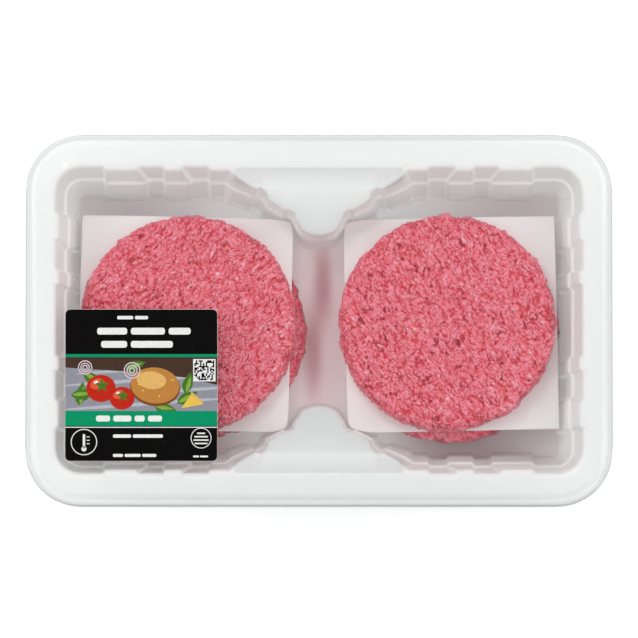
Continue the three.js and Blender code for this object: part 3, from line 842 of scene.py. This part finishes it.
def build_patty(side, level, rings, rows, seed, material):
    name, node = f"ground_beef_{side}_{level}", f"patty_{side}_{level}"
    points, directions, faces = round_skin(rings, rows)
    height, masks = meat_relief(points + seed * 10.0, STRAND_TURN[side], seed)
    from_middle = np.linalg.norm(points[:, :2], axis=1)
    on_rim = step_up(from_middle, PATTY_RADIUS - RIM_WIDTH, PATTY_RADIUS)
    coarse = smooth_noise(points, 5.5, seed + 61) + 0.6 * smooth_noise(points, 2.4, seed + 62)
    height += on_rim * (RIM_TEAR * coarse - RIM_LOSS)
    # Low places on the torn rim get more painted shade.
    masks["dip"] = np.clip(masks["dip"] + 0.35 * on_rim * (0.2 - coarse), 0, 1)
    points = points + directions * height[:, None]
    points[:, 2] = np.clip(points[:, 2], 0, None)
    patty = add_piece(name, points + patty_centre(node), faces, [material], [node])
    for mask, values in masks.items():
        set_mask(patty, mask, values)
    print(f"{name}: {100 * (masks['pit'] > 0.5).mean():.1f} % of the points are down in pits")


# %% [markdown]
# ### Raw ground beef
# The colour is a cool pink, not orange. Lean crumbs are deeper, smears of fat are paler, and painted
# shade darkens the valleys between crumbs and takes the pits down to a dark red. The surface is moist,
# so it gets a low roughness with a fine bump that breaks the shine into specks.


# %% Meat material
LEAN, PINK, FAT = (1.0, 0.13, 0.2, 1), (1.0, 0.335, 0.415, 1), (1.0, 0.55, 0.6, 1)
# Painted shade: the first of these darkens the valleys between crumbs, the second the pits and cracks.
VALLEY_SHADE, PIT = (0.72, 0.025, 0.06, 1), (0.5, 0.008, 0.03, 1)


def ground_beef():
    material, tree, shader = new_material("ground_beef")
    masks = {name: add_node(tree, "ShaderNodeAttribute", attribute_name=name).outputs["Fac"]
             for name in ("pit", "dip", "tone", "fleck")}
    mottle = place_group(tree, BLOTCHES, Colour_A=LEAN, Colour_B=PINK, Scale=260.0, Detail=6.0)
    by_crumb = mixed(tree, masks["tone"], LEAN, PINK)
    colour = mixed(tree, mottle.outputs["Mask"], by_crumb, PINK)
    colour = mixed(tree, masks["fleck"], colour, FAT)
    # Painted shade darkens the valleys, then the pits and cracks.
    colour = mixed(tree, masks["dip"], colour, VALLEY_SHADE)
    colour = mixed(tree, masks["pit"], colour, PIT)
    grain = place_group(tree, GRAIN, Scale=1500.0, Roughness_Low=0.32, Roughness_High=0.6)
    dress(tree, shader, colour, grain, 0.7, 0.25)
    set_inputs(shader, IOR=1.4, Subsurface_Weight=0.05,
               Subsurface_Radius=(1.0, 0.35, 0.35), Subsurface_Scale=1.0 * MM)
    return material


MEAT = ground_beef()
for number, side in enumerate(("left", "right"), start=1):
    for level, (rings, rows, seed) in PATTY_SKINS.items():
        build_patty(side, level, rings, rows, 10 * number + seed, MEAT)

# %% [markdown]
# ## The papers
# A thin waxed square lies between the patties of each stack. Cloth simulation could drape it, but
# it is stiff for its size: it lies flat on the lower patty, droops a little past it, and turns up
# where a corner meets a tongue. That is a formula over a fine grid, with soft creases added.

# %% The papers' sizes in mm
PAPER_X, PAPER_Y, PAPER_THICKNESS, PAPER_DROOP = 106.5, 107.5, 0.12, 0.0058
PAPER_LIFT, TOOTH, TOOTH_PITCH = 0.1, 0.35, 1.6
PAPERS = {"left": ((-67.3, 0.4), -1.5), "right": ((66.4, 0.0), 1.2)}
PAPER_CLEARANCE, PAPER_BEND, PAPER_BEND_LENGTH = 0.6, 4.0, 9.0
PAPER_STEEPEST = math.radians(74)
PAPER_STEPS, PAPER_OVER_MEAT, CREASE_HEIGHT, CREASE_SIZE = 137, 0.3, 0.35, 17.0

# %% [markdown]
# ### Lay and bend a flat grid
# A flat sheet can't stretch, so where it meets a tongue its points go round a bend of a given
# length and then straight on, and come to stand as far up as they were pushed in. Past the meat
# it droops by a parabola. The cut edges at the sides have the fine teeth of a tear-off roll.


# %% Lay a paper
def turn_up(place, widening):
    """Bends flat points up before a tongue's wall, and tells how high each one comes to stand."""
    from_root = np.abs(place) - TONGUE_ROOT
    lean = lean_at(from_root @ FLANK)
    beyond = widening * lean + PAPER_CLEARANCE + PAPER_BEND - from_root @ OFF_FLANK
    along = np.clip(beyond, 0, None)
    angle = PAPER_STEEPEST * np.minimum(along / PAPER_BEND_LENGTH, 1)
    curved = np.minimum(along, PAPER_BEND_LENGTH)
    straight = along - curved
    reach = np.where(angle > 1e-6, curved * np.sinc(angle / math.pi), 0)
    reach += straight * math.cos(PAPER_STEEPEST)
    rise = np.where(angle > 1e-6, curved * (1 - np.cos(angle)) / np.maximum(angle, 1e-6), 0)
    rise += straight * math.sin(PAPER_STEEPEST)
    return place + np.sign(place) * OFF_FLANK * (along - reach)[:, None], rise


def lay_paper(side, flat):
    """Takes flat points on the paper to their places in the tray."""
    centre, turn = PAPERS[side]
    angle = math.radians(turn)
    spin = np.array([[math.cos(angle), math.sin(angle)], [-math.sin(angle), math.cos(angle)]])
    place = flat @ spin + centre
    lower = patty_centre(f"patty_{side}_lower")[:2]
    top = BOX[f"patty_{side}_lower"][1][2] + PAPER_OVER_MEAT
    beyond = np.maximum(np.linalg.norm(place - lower, axis=1) - PATTY_RADIUS + 1, 0)
    z = top - PAPER_DROOP * beyond**2
    place, rise = turn_up(place, wall_inset(TRAY_HEIGHT - top) - wall_inset(TONGUE_DROP))
    creases = smooth_noise(np.column_stack([place * [1, 0.6], 0 * z]), CREASE_SIZE, 71)
    z = z + rise + CREASE_HEIGHT * creases * np.minimum(beyond / 6, 1)
    return np.column_stack([place, z + PAPER_LIFT])


def build_paper(side, material):
    share = np.linspace(-0.5, 0.5, PAPER_STEPS)
    u, v = np.meshgrid(share * PAPER_X, share * PAPER_Y)
    on_side = np.abs(u) > PAPER_X * 0.499
    tooth = TOOTH * np.abs((v / TOOTH_PITCH) % 1 * 2 - 1)
    u = np.where(on_side, np.sign(u) * (np.abs(u) - tooth), u)
    upper = lay_paper(side, np.column_stack([u.ravel(), v.ravel()]))
    size = PAPER_STEPS**2
    lifted = upper + [0, 0, PAPER_THICKNESS]
    quads = grid_faces(PAPER_STEPS, PAPER_STEPS)
    index = np.arange(size).reshape(PAPER_STEPS, PAPER_STEPS)
    border = np.concatenate([index[0, :-1], index[:-1, -1], index[-1, :0:-1], index[:0:-1, 0]])
    following = np.roll(border, -1)
    hem = np.stack([border, border + size, following + size, following], axis=1)
    faces = np.vstack([quads, quads[:, ::-1] + size, hem])
    add_piece(f"waxed_paper_{side}", np.vstack([lifted, upper]), faces, [material],
              [f"paper_{side}"])


# %% [markdown]
# ### Waxed paper
# It is white with faint warm blotches where it is damp, and has a fine fibre grain. Light comes through
# the real sheet from both sides. A very weak glow is painted light that brightens the paper in place of
# that, as it is cheap and the same from every side.


# %% Paper material
# Painted light: a weak glow that brightens the paper.
PAPER_GLOW = 0.035
DRY_PAPER, DAMP_PAPER = (0.97, 0.955, 0.95, 1), (0.96, 0.93, 0.925, 1)


def waxed_paper():
    material, tree, shader = new_material("waxed_paper")
    tint = place_group(tree, BLOTCHES, Colour_A=DRY_PAPER, Colour_B=DAMP_PAPER,
                       Scale=38.0, Detail=5.0)
    grain = place_group(tree, GRAIN, Scale=1100.0, Roughness_Low=0.45, Roughness_High=0.62)
    dress(tree, shader, tint.outputs["Colour"], grain, 0.25, 0.05)
    set_inputs(shader, Emission_Color=(1.0, 0.97, 0.96, 1), Emission_Strength=PAPER_GLOW)
    return material


WAXED = waxed_paper()
for side in PAPERS:
    build_paper(side, WAXED)

# %% [markdown]
# ## The lid film
# A clear film is heat-sealed all round the flange. It could be a glass solid, but a film this
# thin bends nothing: it lets light straight through and only adds a reflection that grows at
# low angles. So it is a single skin, with the few soft puckers that sealing leaves in it.

# %% The film's shape
FILM_MARGIN, FILM_COLUMNS, FILM_ROWS = 1.0, 300, 200
FILM_LIFT, FILM_SAG, FILM_SAG_SIZE = 0.06, 0.04, 38.0
PUCKERS = [  # from, to, height and half width, in mm, on the flange
    ((90, -88), (100, -80), 0.5, 1.4), ((13, -87), (17, -84), 0.4, 1.3),
    ((-27, -88), (-19, -85), 0.4, 1.3), ((-99, -80), (-85, -88), 0.45, 1.4),
    ((-64, 87), (-56, 82), 0.45, 1.3), ((-56, 82), (-20, 81), 0.3, 1.3),
    ((107, -76), (120, -73), 0.55, 2.0), ((112, 78), (124, 86), 0.45, 1.5),
    ((-138, 20), (-134, 44), 0.35, 1.4), ((134, -30), (139, 4), 0.35, 1.4),
    ((-128, -79), (-118, -77), 0.45, 1.8), ((-131, 72), (-124, 79), 0.45, 1.8),
]


def pucker_height(x, y):
    total = np.zeros(x.shape)
    for start, end, height, width in PUCKERS:
        start, end = np.array(start), np.array(end)
        along = end - start
        share = np.clip(((x - start[0]) * along[0] + (y - start[1]) * along[1]) / (along @ along), 0, 1)
        away = np.hypot(x - start[0] - share * along[0], y - start[1] - share * along[1])
        total += height * np.exp(-((away / width) ** 2)) * np.sin(math.pi * np.clip(share, 0.1, 0.9))
    return total


def build_film(material):
    low, high = BOX["lid_film"]
    half = (high - low)[:2] / 2
    radius = TRAY_CORNER_RADIUS - LIP_WIDTH - FILM_MARGIN
    across = np.linspace(-half[0], half[0], FILM_COLUMNS)
    x, y = np.meshgrid(across, np.linspace(-half[1], half[1], FILM_ROWS))
    core = half - radius
    over = np.stack([np.abs(x) - core[0], np.abs(y) - core[1]], axis=-1)
    both = (over > 0).all(axis=-1)
    # A square corner region is pressed onto a quarter disc, ring by ring
    ring = over.max(axis=-1)
    angle = np.arctan2(over[..., 1], over[..., 0])
    x = np.where(both, np.sign(x) * (core[0] + ring * np.cos(angle)), x)
    y = np.where(both, np.sign(y) * (core[1] + ring * np.sin(angle)), y)
    flat = np.column_stack([x.ravel(), y.ravel(), 0 * x.ravel()])
    sag = FILM_SAG * smooth_noise(flat, FILM_SAG_SIZE, 81)
    z = low[2] + FILM_LIFT + sag + pucker_height(x.ravel(), y.ravel())
    faces = grid_faces(FILM_ROWS, FILM_COLUMNS)
    points = np.column_stack([flat[:, :2], z])
    add_piece("sealed_film", points, faces, [material], ["lid_film"])


# %% [markdown]
# ### Clear film
# A glass shader would bend the light twice for nothing. Here a see-through shader is mixed with
# a smooth mirror skin, and the mirror's share grows as the surface turns away from the eye, as
# it does on every clear sheet.


# %% Film material
FILM_SHEEN, EDGE_SHEEN, SHEEN_POWER = 0.04, 0.9, 5.0


def clear_film():
    material, tree, shader = new_material("clear_film")
    link = tree.links.new
    clear = add_node(tree, "ShaderNodeBsdfTransparent")
    set_inputs(clear, Color=(0.985, 0.988, 0.988, 1))
    set_inputs(shader, Base_Color=(0.96, 0.97, 0.97, 1), Metallic=1.0)
    grain = place_group(tree, GRAIN, Scale=60.0, Roughness_Low=0.08, Roughness_High=0.2)
    link(grain.outputs["Roughness"], shader.inputs["Roughness"])
    facing = add_node(tree, "ShaderNodeLayerWeight")
    steep = add_node(tree, "ShaderNodeMath", operation="POWER")
    steep.inputs[1].default_value = SHEEN_POWER
    sheen = add_node(tree, "ShaderNodeMath", operation="MULTIPLY_ADD")
    sheen.inputs[1].default_value, sheen.inputs[2].default_value = EDGE_SHEEN, FILM_SHEEN
    mix = add_node(tree, "ShaderNodeMixShader")
    link(facing.outputs["Facing"], steep.inputs[0])
    link(steep.outputs["Value"], sheen.inputs[0])
    link(sheen.outputs["Value"], mix.inputs["Fac"])
    link(clear.outputs["BSDF"], mix.inputs[1])
    link(shader.outputs["BSDF"], mix.inputs[2])
    link(mix.outputs["Shader"], tree.nodes["Material Output"].inputs["Surface"])
    return material


build_film(clear_film())

# %% [markdown]
# ## The label
# Print could be an image, but simple shapes stay crisp at any distance and need no file. The
# label is one thin plate with flat patches of ink on it, each a hair above the one before. The
# words are only plain bars here, the code block is a random pattern, and the picture is a plain
# still life of a roll, tomatoes and leaves on a slate.

# %% The label's sizes in mm, from its lower left corner
LABEL_LOW, LABEL_HIGH = BOX["label"]
LABEL_SIDE = float(LABEL_HIGH[0] - LABEL_LOW[0])
LABEL_RADIUS, PLATE, INK_STEP, PRINT_MARGIN = 2.5, 0.12, 0.012, 0.12
PICTURE_LOW, PICTURE_HIGH = 25.2, 52.2
BAND_LOW, BAND_HIGH = 17.7, 25.2
INKS = {
    "paper_white": linear(236, 236, 233), "ink_black": linear(9, 7, 7),
    "ink_green": linear(8, 150, 105), "ink_white": linear(243, 244, 242),
    "slate": linear(150, 150, 160), "slate_light": linear(186, 188, 198),
    "backdrop": linear(74, 54, 44),
    "crust": linear(196, 134, 66), "crust_light": linear(232, 184, 112),
    "crust_dark": linear(130, 78, 36), "tomato": linear(196, 42, 26),
    "tomato_light": linear(228, 92, 62), "leaf": linear(74, 122, 40),
    "leaf_light": linear(138, 172, 74), "cheese": linear(240, 200, 84),
    "onion": linear(226, 206, 214),
}


# %% [markdown]
# ### Outlines
# Ovals, bars with round corners and pointed leaves are enough for a plain print. Each function
# gives the points of one outline, counter-clockwise, so that its face looks up.


# %% Outlines for ink
def placed(outline, x, y, turn):
    """An outline turned by so many degrees and moved to x, y."""
    c, s = math.cos(math.radians(turn)), math.sin(math.radians(turn))
    return outline @ np.array([[c, s], [-s, c]]) + [x, y]


def oval(x, y, rx, ry, turn=0.0, count=28):
    angle = np.linspace(0, 2 * math.pi, count, endpoint=False)
    return placed(np.column_stack([rx * np.cos(angle), ry * np.sin(angle)]), x, y, turn)


def bar(x0, y0, x1, y1, radius=0.0, steps=5):
    corners = [(x1, y1, 0), (x0, y1, 90), (x0, y0, 180), (x1, y0, 270)]
    if not radius:
        return np.array([(x, y) for x, y, _ in corners])
    points = []
    for x, y, start in corners:
        cx = x - radius if x == x1 else x + radius
        cy = y - radius if y == y1 else y + radius
        for angle in np.radians(np.linspace(start, start + 90, steps)):
            points.append((cx + radius * math.cos(angle), cy + radius * math.sin(angle)))
    return np.array(points)


def leaf(x, y, length, width, turn, count=9):
    share = np.linspace(0, 1, count)
    side = width / 2 * np.sin(math.pi * share**0.8)
    along = length * share
    outline = np.column_stack([np.r_[along, along[-2:0:-1]], np.r_[-side, side[-2:0:-1]]])
    return placed(outline, x, y, turn)


# %% [markdown]
# ### Print, layer by layer
# Real ink lies in thin layers, and so do the patches: every patch has a level, and a higher
# level hides a lower one. Two patches at one level must not overlap, because faces in the same
# plane fight and come out black. The picture's patches are cut off at its window.


# %% Print the label
class Print:
    """Flat patches of ink, each at its own level over the plate."""

    def __init__(self):
        self.points, self.faces, self.inks = [], [], []
        self.names = list(INKS)

    def patch(self, ink, outline, level, window=None):
        if window is not None:
            outline = clipped(outline, *window)
        if len(outline) < 3:
            return
        start = len(self.points)
        z = PLATE + level * INK_STEP
        self.points += [(x, y, z) for x, y in outline]
        self.faces.append(list(range(start, len(self.points))))
        self.inks.append(self.names.index(ink))

    def ring(self, ink, x, y, radius, width, level, count=40):
        outer = oval(x, y, radius, radius, 0, count)
        inner = oval(x, y, radius - width, radius - width, 0, count)
        z = PLATE + level * INK_STEP
        start = len(self.points)
        self.points += [(px, py, z) for px, py in np.vstack([outer, inner])]
        for k in range(count):
            after = (k + 1) % count
            self.faces.append([start + k, start + after, start + count + after, start + count + k])
            self.inks.append(self.names.index(ink))


def clipped(outline, x0, y0, x1, y1):
    """The part of an outline inside a window, cut one side at a time."""
    points = [tuple(p) for p in outline]
    for axis, limit, keep_above in ((0, x0, True), (0, x1, False), (1, y0, True), (1, y1, False)):
        cut = []
        for here, there in zip(points, points[1:] + points[:1]):
            inside = here[axis] >= limit if keep_above else here[axis] <= limit
            inside_next = there[axis] >= limit if keep_above else there[axis] <= limit
            if inside:
                cut.append(here)
            if inside != inside_next:
                share = (limit - here[axis]) / (there[axis] - here[axis])
                cut.append(tuple(h + share * (t - h) for h, t in zip(here, there)))
        points = cut
        if not points:
            break
    return points


# %% [markdown]
# ### Fields, bars, marks and a block
# A green band and thin lines divide a black label. Rounded bars give the rhythm of print, two
# rings hold plain marks, and the square block is made of random cells.


# %% Print all but the picture
def print_fields(sheet):
    """The black face inside a white margin, the green band and the thin lines."""
    edge, far = PRINT_MARGIN, LABEL_SIDE - PRINT_MARGIN
    sheet.patch("ink_black", bar(edge, edge, far, far, LABEL_RADIUS - PRINT_MARGIN), 1)
    sheet.patch("ink_green", bar(edge, PICTURE_HIGH, far, PICTURE_HIGH + 1.5), 2)
    sheet.patch("ink_green", bar(edge, BAND_LOW, far, BAND_HIGH), 2)
    sheet.patch("ink_white", bar(edge, BAND_LOW - 0.9, far, BAND_LOW - 0.45), 2)


def print_bars(sheet):
    """Plain bars where a real label has words: lengths and heights only, and no letters."""
    rows = [  # left edge, height of the middle, bar height, lengths
        (26, 72.0, 1.7, (8, 6.5)), (16, 65.2, 3.4, (15, 17, 11)), (18, 58.6, 3.4, (13, 21)),
        (15.5, 21.4, 3.0, (7, 9, 5, 7)), (24, 12.6, 1.7, (9, 15)), (24, 2.9, 1.5, (5, 8, 7)),
        (64, 2.4, 0.9, (3, 4)),
    ]
    for x, y, height, lengths in rows:
        for length in lengths:
            outline = bar(x, y - height / 2, x + length, y + height / 2, height * 0.35)
            sheet.patch("ink_white", outline, 4)
            x += length + height * 0.55


def print_marks(sheet):
    """Two plain rings: a thermometer in the left one and bars in the right one."""
    sheet.ring("ink_white", 9.5, 9.6, 6.6, 0.45, 4)
    sheet.patch("ink_white", oval(9.5, 6.2, 1.3, 1.3), 4)
    sheet.patch("ink_white", bar(8.9, 6.5, 10.1, 13.6, 0.5), 4)
    for step in range(3):
        sheet.patch("ink_white", bar(10.8, 8.6 + 1.7 * step, 12.4, 9.0 + 1.7 * step), 4)
    sheet.ring("ink_white", 68, 11.6, 5.2, 0.4, 4)
    for step, half in enumerate((2.0, 3.4, 3.8, 3.2)):
        y = 14.0 - 1.7 * step
        sheet.patch("ink_white", bar(68 - half, y - 0.35, 68 + half, y + 0.35), 4)


def print_code(sheet):
    """A square of random cells that carries nothing."""
    x0, y0, side, cells = 64, 40, 11.2, 14
    cell = (side - 1.2) / cells
    sheet.patch("ink_white", bar(x0, y0, x0 + side, y0 + side), 12)
    draw = np.random.default_rng(5).random((cells, cells)) < 0.5
    for row in range(cells):
        for column in range(cells):
            if draw[row, column]:
                x, y = x0 + 0.6 + column * cell, y0 + 0.6 + row * cell
                sheet.patch("ink_black", bar(x, y, x + cell, y + cell), 13)


# %% [markdown]
# ### The picture
# It is painted from back to front, as with cut paper: slate, dark backdrop, leaves, the roll
# with its seeds, two tomatoes with their green stars, cheese and onion rings.


# %% Paint the still life
def print_picture(sheet):
    """A plain still life: a round roll, two tomatoes, onion rings, cheese and leaves on slate."""
    window = (PRINT_MARGIN, PICTURE_LOW, LABEL_SIDE - PRINT_MARGIN, PICTURE_HIGH)
    base = PICTURE_LOW

    def paint(ink, outline, level):
        sheet.patch(ink, outline, level, window)

    paint("slate", bar(*window), 2)
    for step in range(5):
        y = base + 3.5 + 6 * step
        paint("slate_light", oval(40 + 7 * (step % 2), y, 42, 0.9, 4), 3)
    paint("backdrop", np.array([(77, 38), (77, 53), (0, 53), (0, 47), (30, 45), (60, 42)]), 4)
    leaves = ((5, 30, 13, 35), (7, 28, 12, 80), (3, 33, 12, 5), (9, 44, 11, -30), (30, 46, 11, 20),
              (56, 29, 12, 30), (60, 34, 11, 75), (45, 27, 11, -8), (33, 29, 10, 150))
    for number, (x, y, length, turn) in enumerate(leaves):
        level = 5 + number % 3
        paint("leaf", leaf(x, y, length, 5.2, turn), level)
        paint("leaf_light", leaf(x + 0.6, y + 0.3, length * 0.8, 2.0, turn), level + 0.5)
    paint("crust_dark", oval(45, 37.2, 12.6, 9.6, -6), 8)
    paint("crust", oval(45, 38.0, 12.2, 9.0, -6), 8.5)
    paint("crust_light", oval(43.2, 40.6, 7.4, 4.4, -6), 9)
    seeds = np.random.default_rng(8).random((18, 3))
    for a, b, c in seeds:
        angle, reach = 2 * math.pi * a, 0.85 * math.sqrt(b)
        x, y = 45 + 11 * reach * math.cos(angle), 38.6 + 7.6 * reach * math.sin(angle)
        paint("cheese", oval(x, y, 0.65, 0.35, 180 * c, 8), 9.5)
    for x, y, size, level in ((18, 36.5, 7.4, 8), (28.5, 31.6, 6.2, 11)):
        paint("tomato", oval(x, y, size, size * 0.92), level)
        glow = oval(x - size * 0.25, y + size * 0.3, size * 0.5, size * 0.36, 20)
        paint("tomato_light", glow, level + 0.5)
        glint = oval(x - size * 0.34, y + size * 0.42, size * 0.16, size * 0.1, 20)
        paint("ink_white", glint, level + 1)
        for step in range(5):
            outline = leaf(x + 0.5, y + size * 0.2, size * 0.5, size * 0.22, 20 + 72 * step)
            paint("leaf", outline, level + 1.4 + 0.3 * step)
    paint("crust_light", np.array([(58, 26.5), (69, 28.5), (69, 30), (63, 35), (63, 33.5)]), 8)
    paint("cheese", np.array([(58, 26.5), (69, 28.5), (63, 33.5)]), 8.5)
    for x, y, size in ((33.5, 45.5, 4.2), (10, 47, 3.6)):
        for share in (1.0, 0.66, 0.36):
            sheet.ring("onion", x, y, size * share, 0.55, 10, 24)


# %% [markdown]
# ### Plate and patches in one mesh
# The plate is an outline at two heights with a wall between them. All patches join its mesh, and
# each face keeps the number of its own ink.


# %% The whole label
def build_label():
    sheet = Print()
    count = len(bar(0, 0, 1, 1, 0.1))
    outline = bar(0, 0, LABEL_SIDE, LABEL_SIDE, LABEL_RADIUS)
    sheet.points += [(x, y, z) for z in (0.0, PLATE) for x, y in outline]
    sheet.faces.append(list(range(count))[::-1])
    sheet.faces.append(list(range(count, 2 * count)))
    sheet.faces += [[k, (k + 1) % count, count + (k + 1) % count, count + k] for k in range(count)]
    sheet.inks += [sheet.names.index("paper_white")] * (count + 2)
    for part in (print_fields, print_bars, print_marks, print_code, print_picture):
        part(sheet)
    points = np.array(sheet.points) + [LABEL_LOW[0], LABEL_LOW[1], LABEL_LOW[2]]
    label = add_piece("printed_label", points, sheet.faces, [ink_material(n) for n in INKS],
                      ["label"], smooth=False)
    label.data.polygons.foreach_set("material_index", sheet.inks)
    print("patches and sides on the label:", len(sheet.faces))


# %% [markdown]
# ### Ink
# Every ink is the same dull coat over paper, so one function makes them all. Print is never
# perfectly even, so each colour drifts a little lighter and darker, and the coat has a fine grain.


# %% Ink materials
INK_LIGHTER, INK_DARKER, INK_SHINE = 1.04, 0.96, 0.04


def ink_material(name):
    colour = INKS[name]
    material, tree, shader = new_material(name)
    lighter = tuple(min(1, c * INK_LIGHTER + 0.001) for c in colour[:3]) + (1,)
    darker = tuple(c * INK_DARKER for c in colour[:3]) + (1,)
    drift = place_group(tree, BLOTCHES, Colour_A=lighter, Colour_B=darker, Scale=420.0, Detail=3.0)
    grain = place_group(tree, GRAIN, Scale=700.0, Roughness_Low=0.3, Roughness_High=0.42)
    dress(tree, shader, drift.outputs["Colour"], grain, 0.2, 0.02)
    set_inputs(shader, Specular_IOR_Level=INK_SHINE)
    return material


build_label()

# %% [markdown]
# ## The floor
# The pack lies on plain white. A lit plane alone would go grey round the pack, so the floor also
# glows a little and comes out pure white, as behind a product picture. It sits a hair below the
# pack, so that the two never share a plane.

# %% Floor
FLOOR_HALF, FLOOR_GLOW, FLOOR_GAP = 3.0, 0.4, 0.2


def white_floor():
    material, tree, shader = new_material("white_floor")
    tint = place_group(tree, BLOTCHES, Colour_A=(0.96, 0.96, 0.96, 1),
                       Colour_B=(0.95, 0.95, 0.95, 1), Scale=2.0)
    tree.links.new(tint.outputs["Colour"], shader.inputs["Base Color"])
    set_inputs(shader, Roughness=0.9, Emission_Color=(1, 1, 1, 1), Emission_Strength=FLOOR_GLOW)
    return material


def build_floor():
    mesh = bpy.data.meshes.new("floor")
    h = FLOOR_HALF
    mesh.from_pydata([(-h, -h, 0), (h, -h, 0), (h, h, 0), (-h, h, 0)], [], [(0, 1, 2, 3)])
    mesh.materials.append(white_floor())
    floor = bpy.data.objects.new("floor", mesh)
    floor.location.z = CAD_BOX[0][2] - FLOOR_GAP * MM
    bpy.context.scene.collection.objects.link(floor)


build_floor()


# %% [markdown]
# ## The light
# The photo's light comes softly from all round. A white world does that, brightest overhead and
# a little behind the pack, so walls that face different ways come out in different tones. Two
# soft boxes light the side walls, and a small lamp gives the meat its crisp glints.


# %% Light
def soft_light(name, place, aim, size, power):
    data = bpy.data.lights.new(name, "AREA")
    data.shape, data.size, data.size_y = "RECTANGLE", size[0], size[1]
    data.energy = power
    lamp = bpy.data.objects.new(name, data)
    lamp.location = place
    lamp.rotation_euler = (Vector(aim) - Vector(place)).to_track_quat("-Z", "Y").to_euler()
    bpy.context.scene.collection.objects.link(lamp)


SKY_LOW, SKY_HIGH, SKY_BRIGHTEST = 0.26, 0.88, (0, 0.45, 0.89)
BOXES = [  # name, place and size in metres, and power in watts
    ("left_box", (-0.9, 0, 0.62), (0.6, 0.5), 2.3),
    ("right_box", (0.9, 0, 0.62), (0.6, 0.5), 2.3),
    ("key_lamp", (-0.25, 0.5, 0.95), (0.2, 0.2), 1.3),
]


def set_world(low, high):
    """White light from all round that is brightest overhead and a little behind the pack."""
    world = bpy.data.worlds.new("studio")
    world.use_nodes = True
    tree = world.node_tree
    direction = add_node(tree, "ShaderNodeTexCoord")
    toward = add_node(tree, "ShaderNodeVectorMath", operation="DOT_PRODUCT")
    toward.inputs[1].default_value = SKY_BRIGHTEST
    rise = add_node(tree, "ShaderNodeMapRange")
    set_inputs(rise, To_Min=low, To_Max=high)
    tree.links.new(direction.outputs["Generated"], toward.inputs[0])
    tree.links.new(toward.outputs["Value"], rise.inputs["Value"])
    background = tree.nodes["Background"]
    set_inputs(background, Color=(1, 1, 1, 1))
    tree.links.new(rise.outputs["Result"], background.inputs["Strength"])
    bpy.context.scene.world = world


set_world(SKY_LOW, SKY_HIGH)
for name, place, size, power in BOXES:
    soft_light(name, place, (0, 0, 0.02), size, power)
bpy.context.scene.view_settings.view_transform = "Standard"
print("lights:", [row[0] for row in BOXES])

# %% [markdown]
# ## The camera
# It hangs almost straight over the pack, five degrees off the vertical toward the front, with a
# long lens from afar. The lens follows from the distance and from how many mm the picture spans.

# %% Camera
CAMERA_TILT, CAMERA_DISTANCE, AIM_Y = math.radians(5), 6.0, 0.5
PICTURE_PIXELS, MM_PER_PIXEL = 638, 0.5
VIEW_WIDTH = PICTURE_PIXELS * MM_PER_PIXEL * MM


def build_camera():
    data = bpy.data.cameras.new("camera")
    camera = bpy.data.objects.new("camera", data)
    aim = Vector((0, AIM_Y * MM, TRAY_HEIGHT * MM))
    back = Vector((0, -math.sin(CAMERA_TILT), math.cos(CAMERA_TILT)))
    camera.location = aim + back * CAMERA_DISTANCE
    camera.rotation_euler = (CAMERA_TILT, 0, 0)
    data.lens = data.sensor_width * CAMERA_DISTANCE / VIEW_WIDTH
    data.clip_start, data.clip_end = 0.01, 20
    bpy.context.scene.collection.objects.link(camera)
    bpy.context.scene.camera = camera
    print("lens in mm:", round(data.lens, 1))


build_camera()
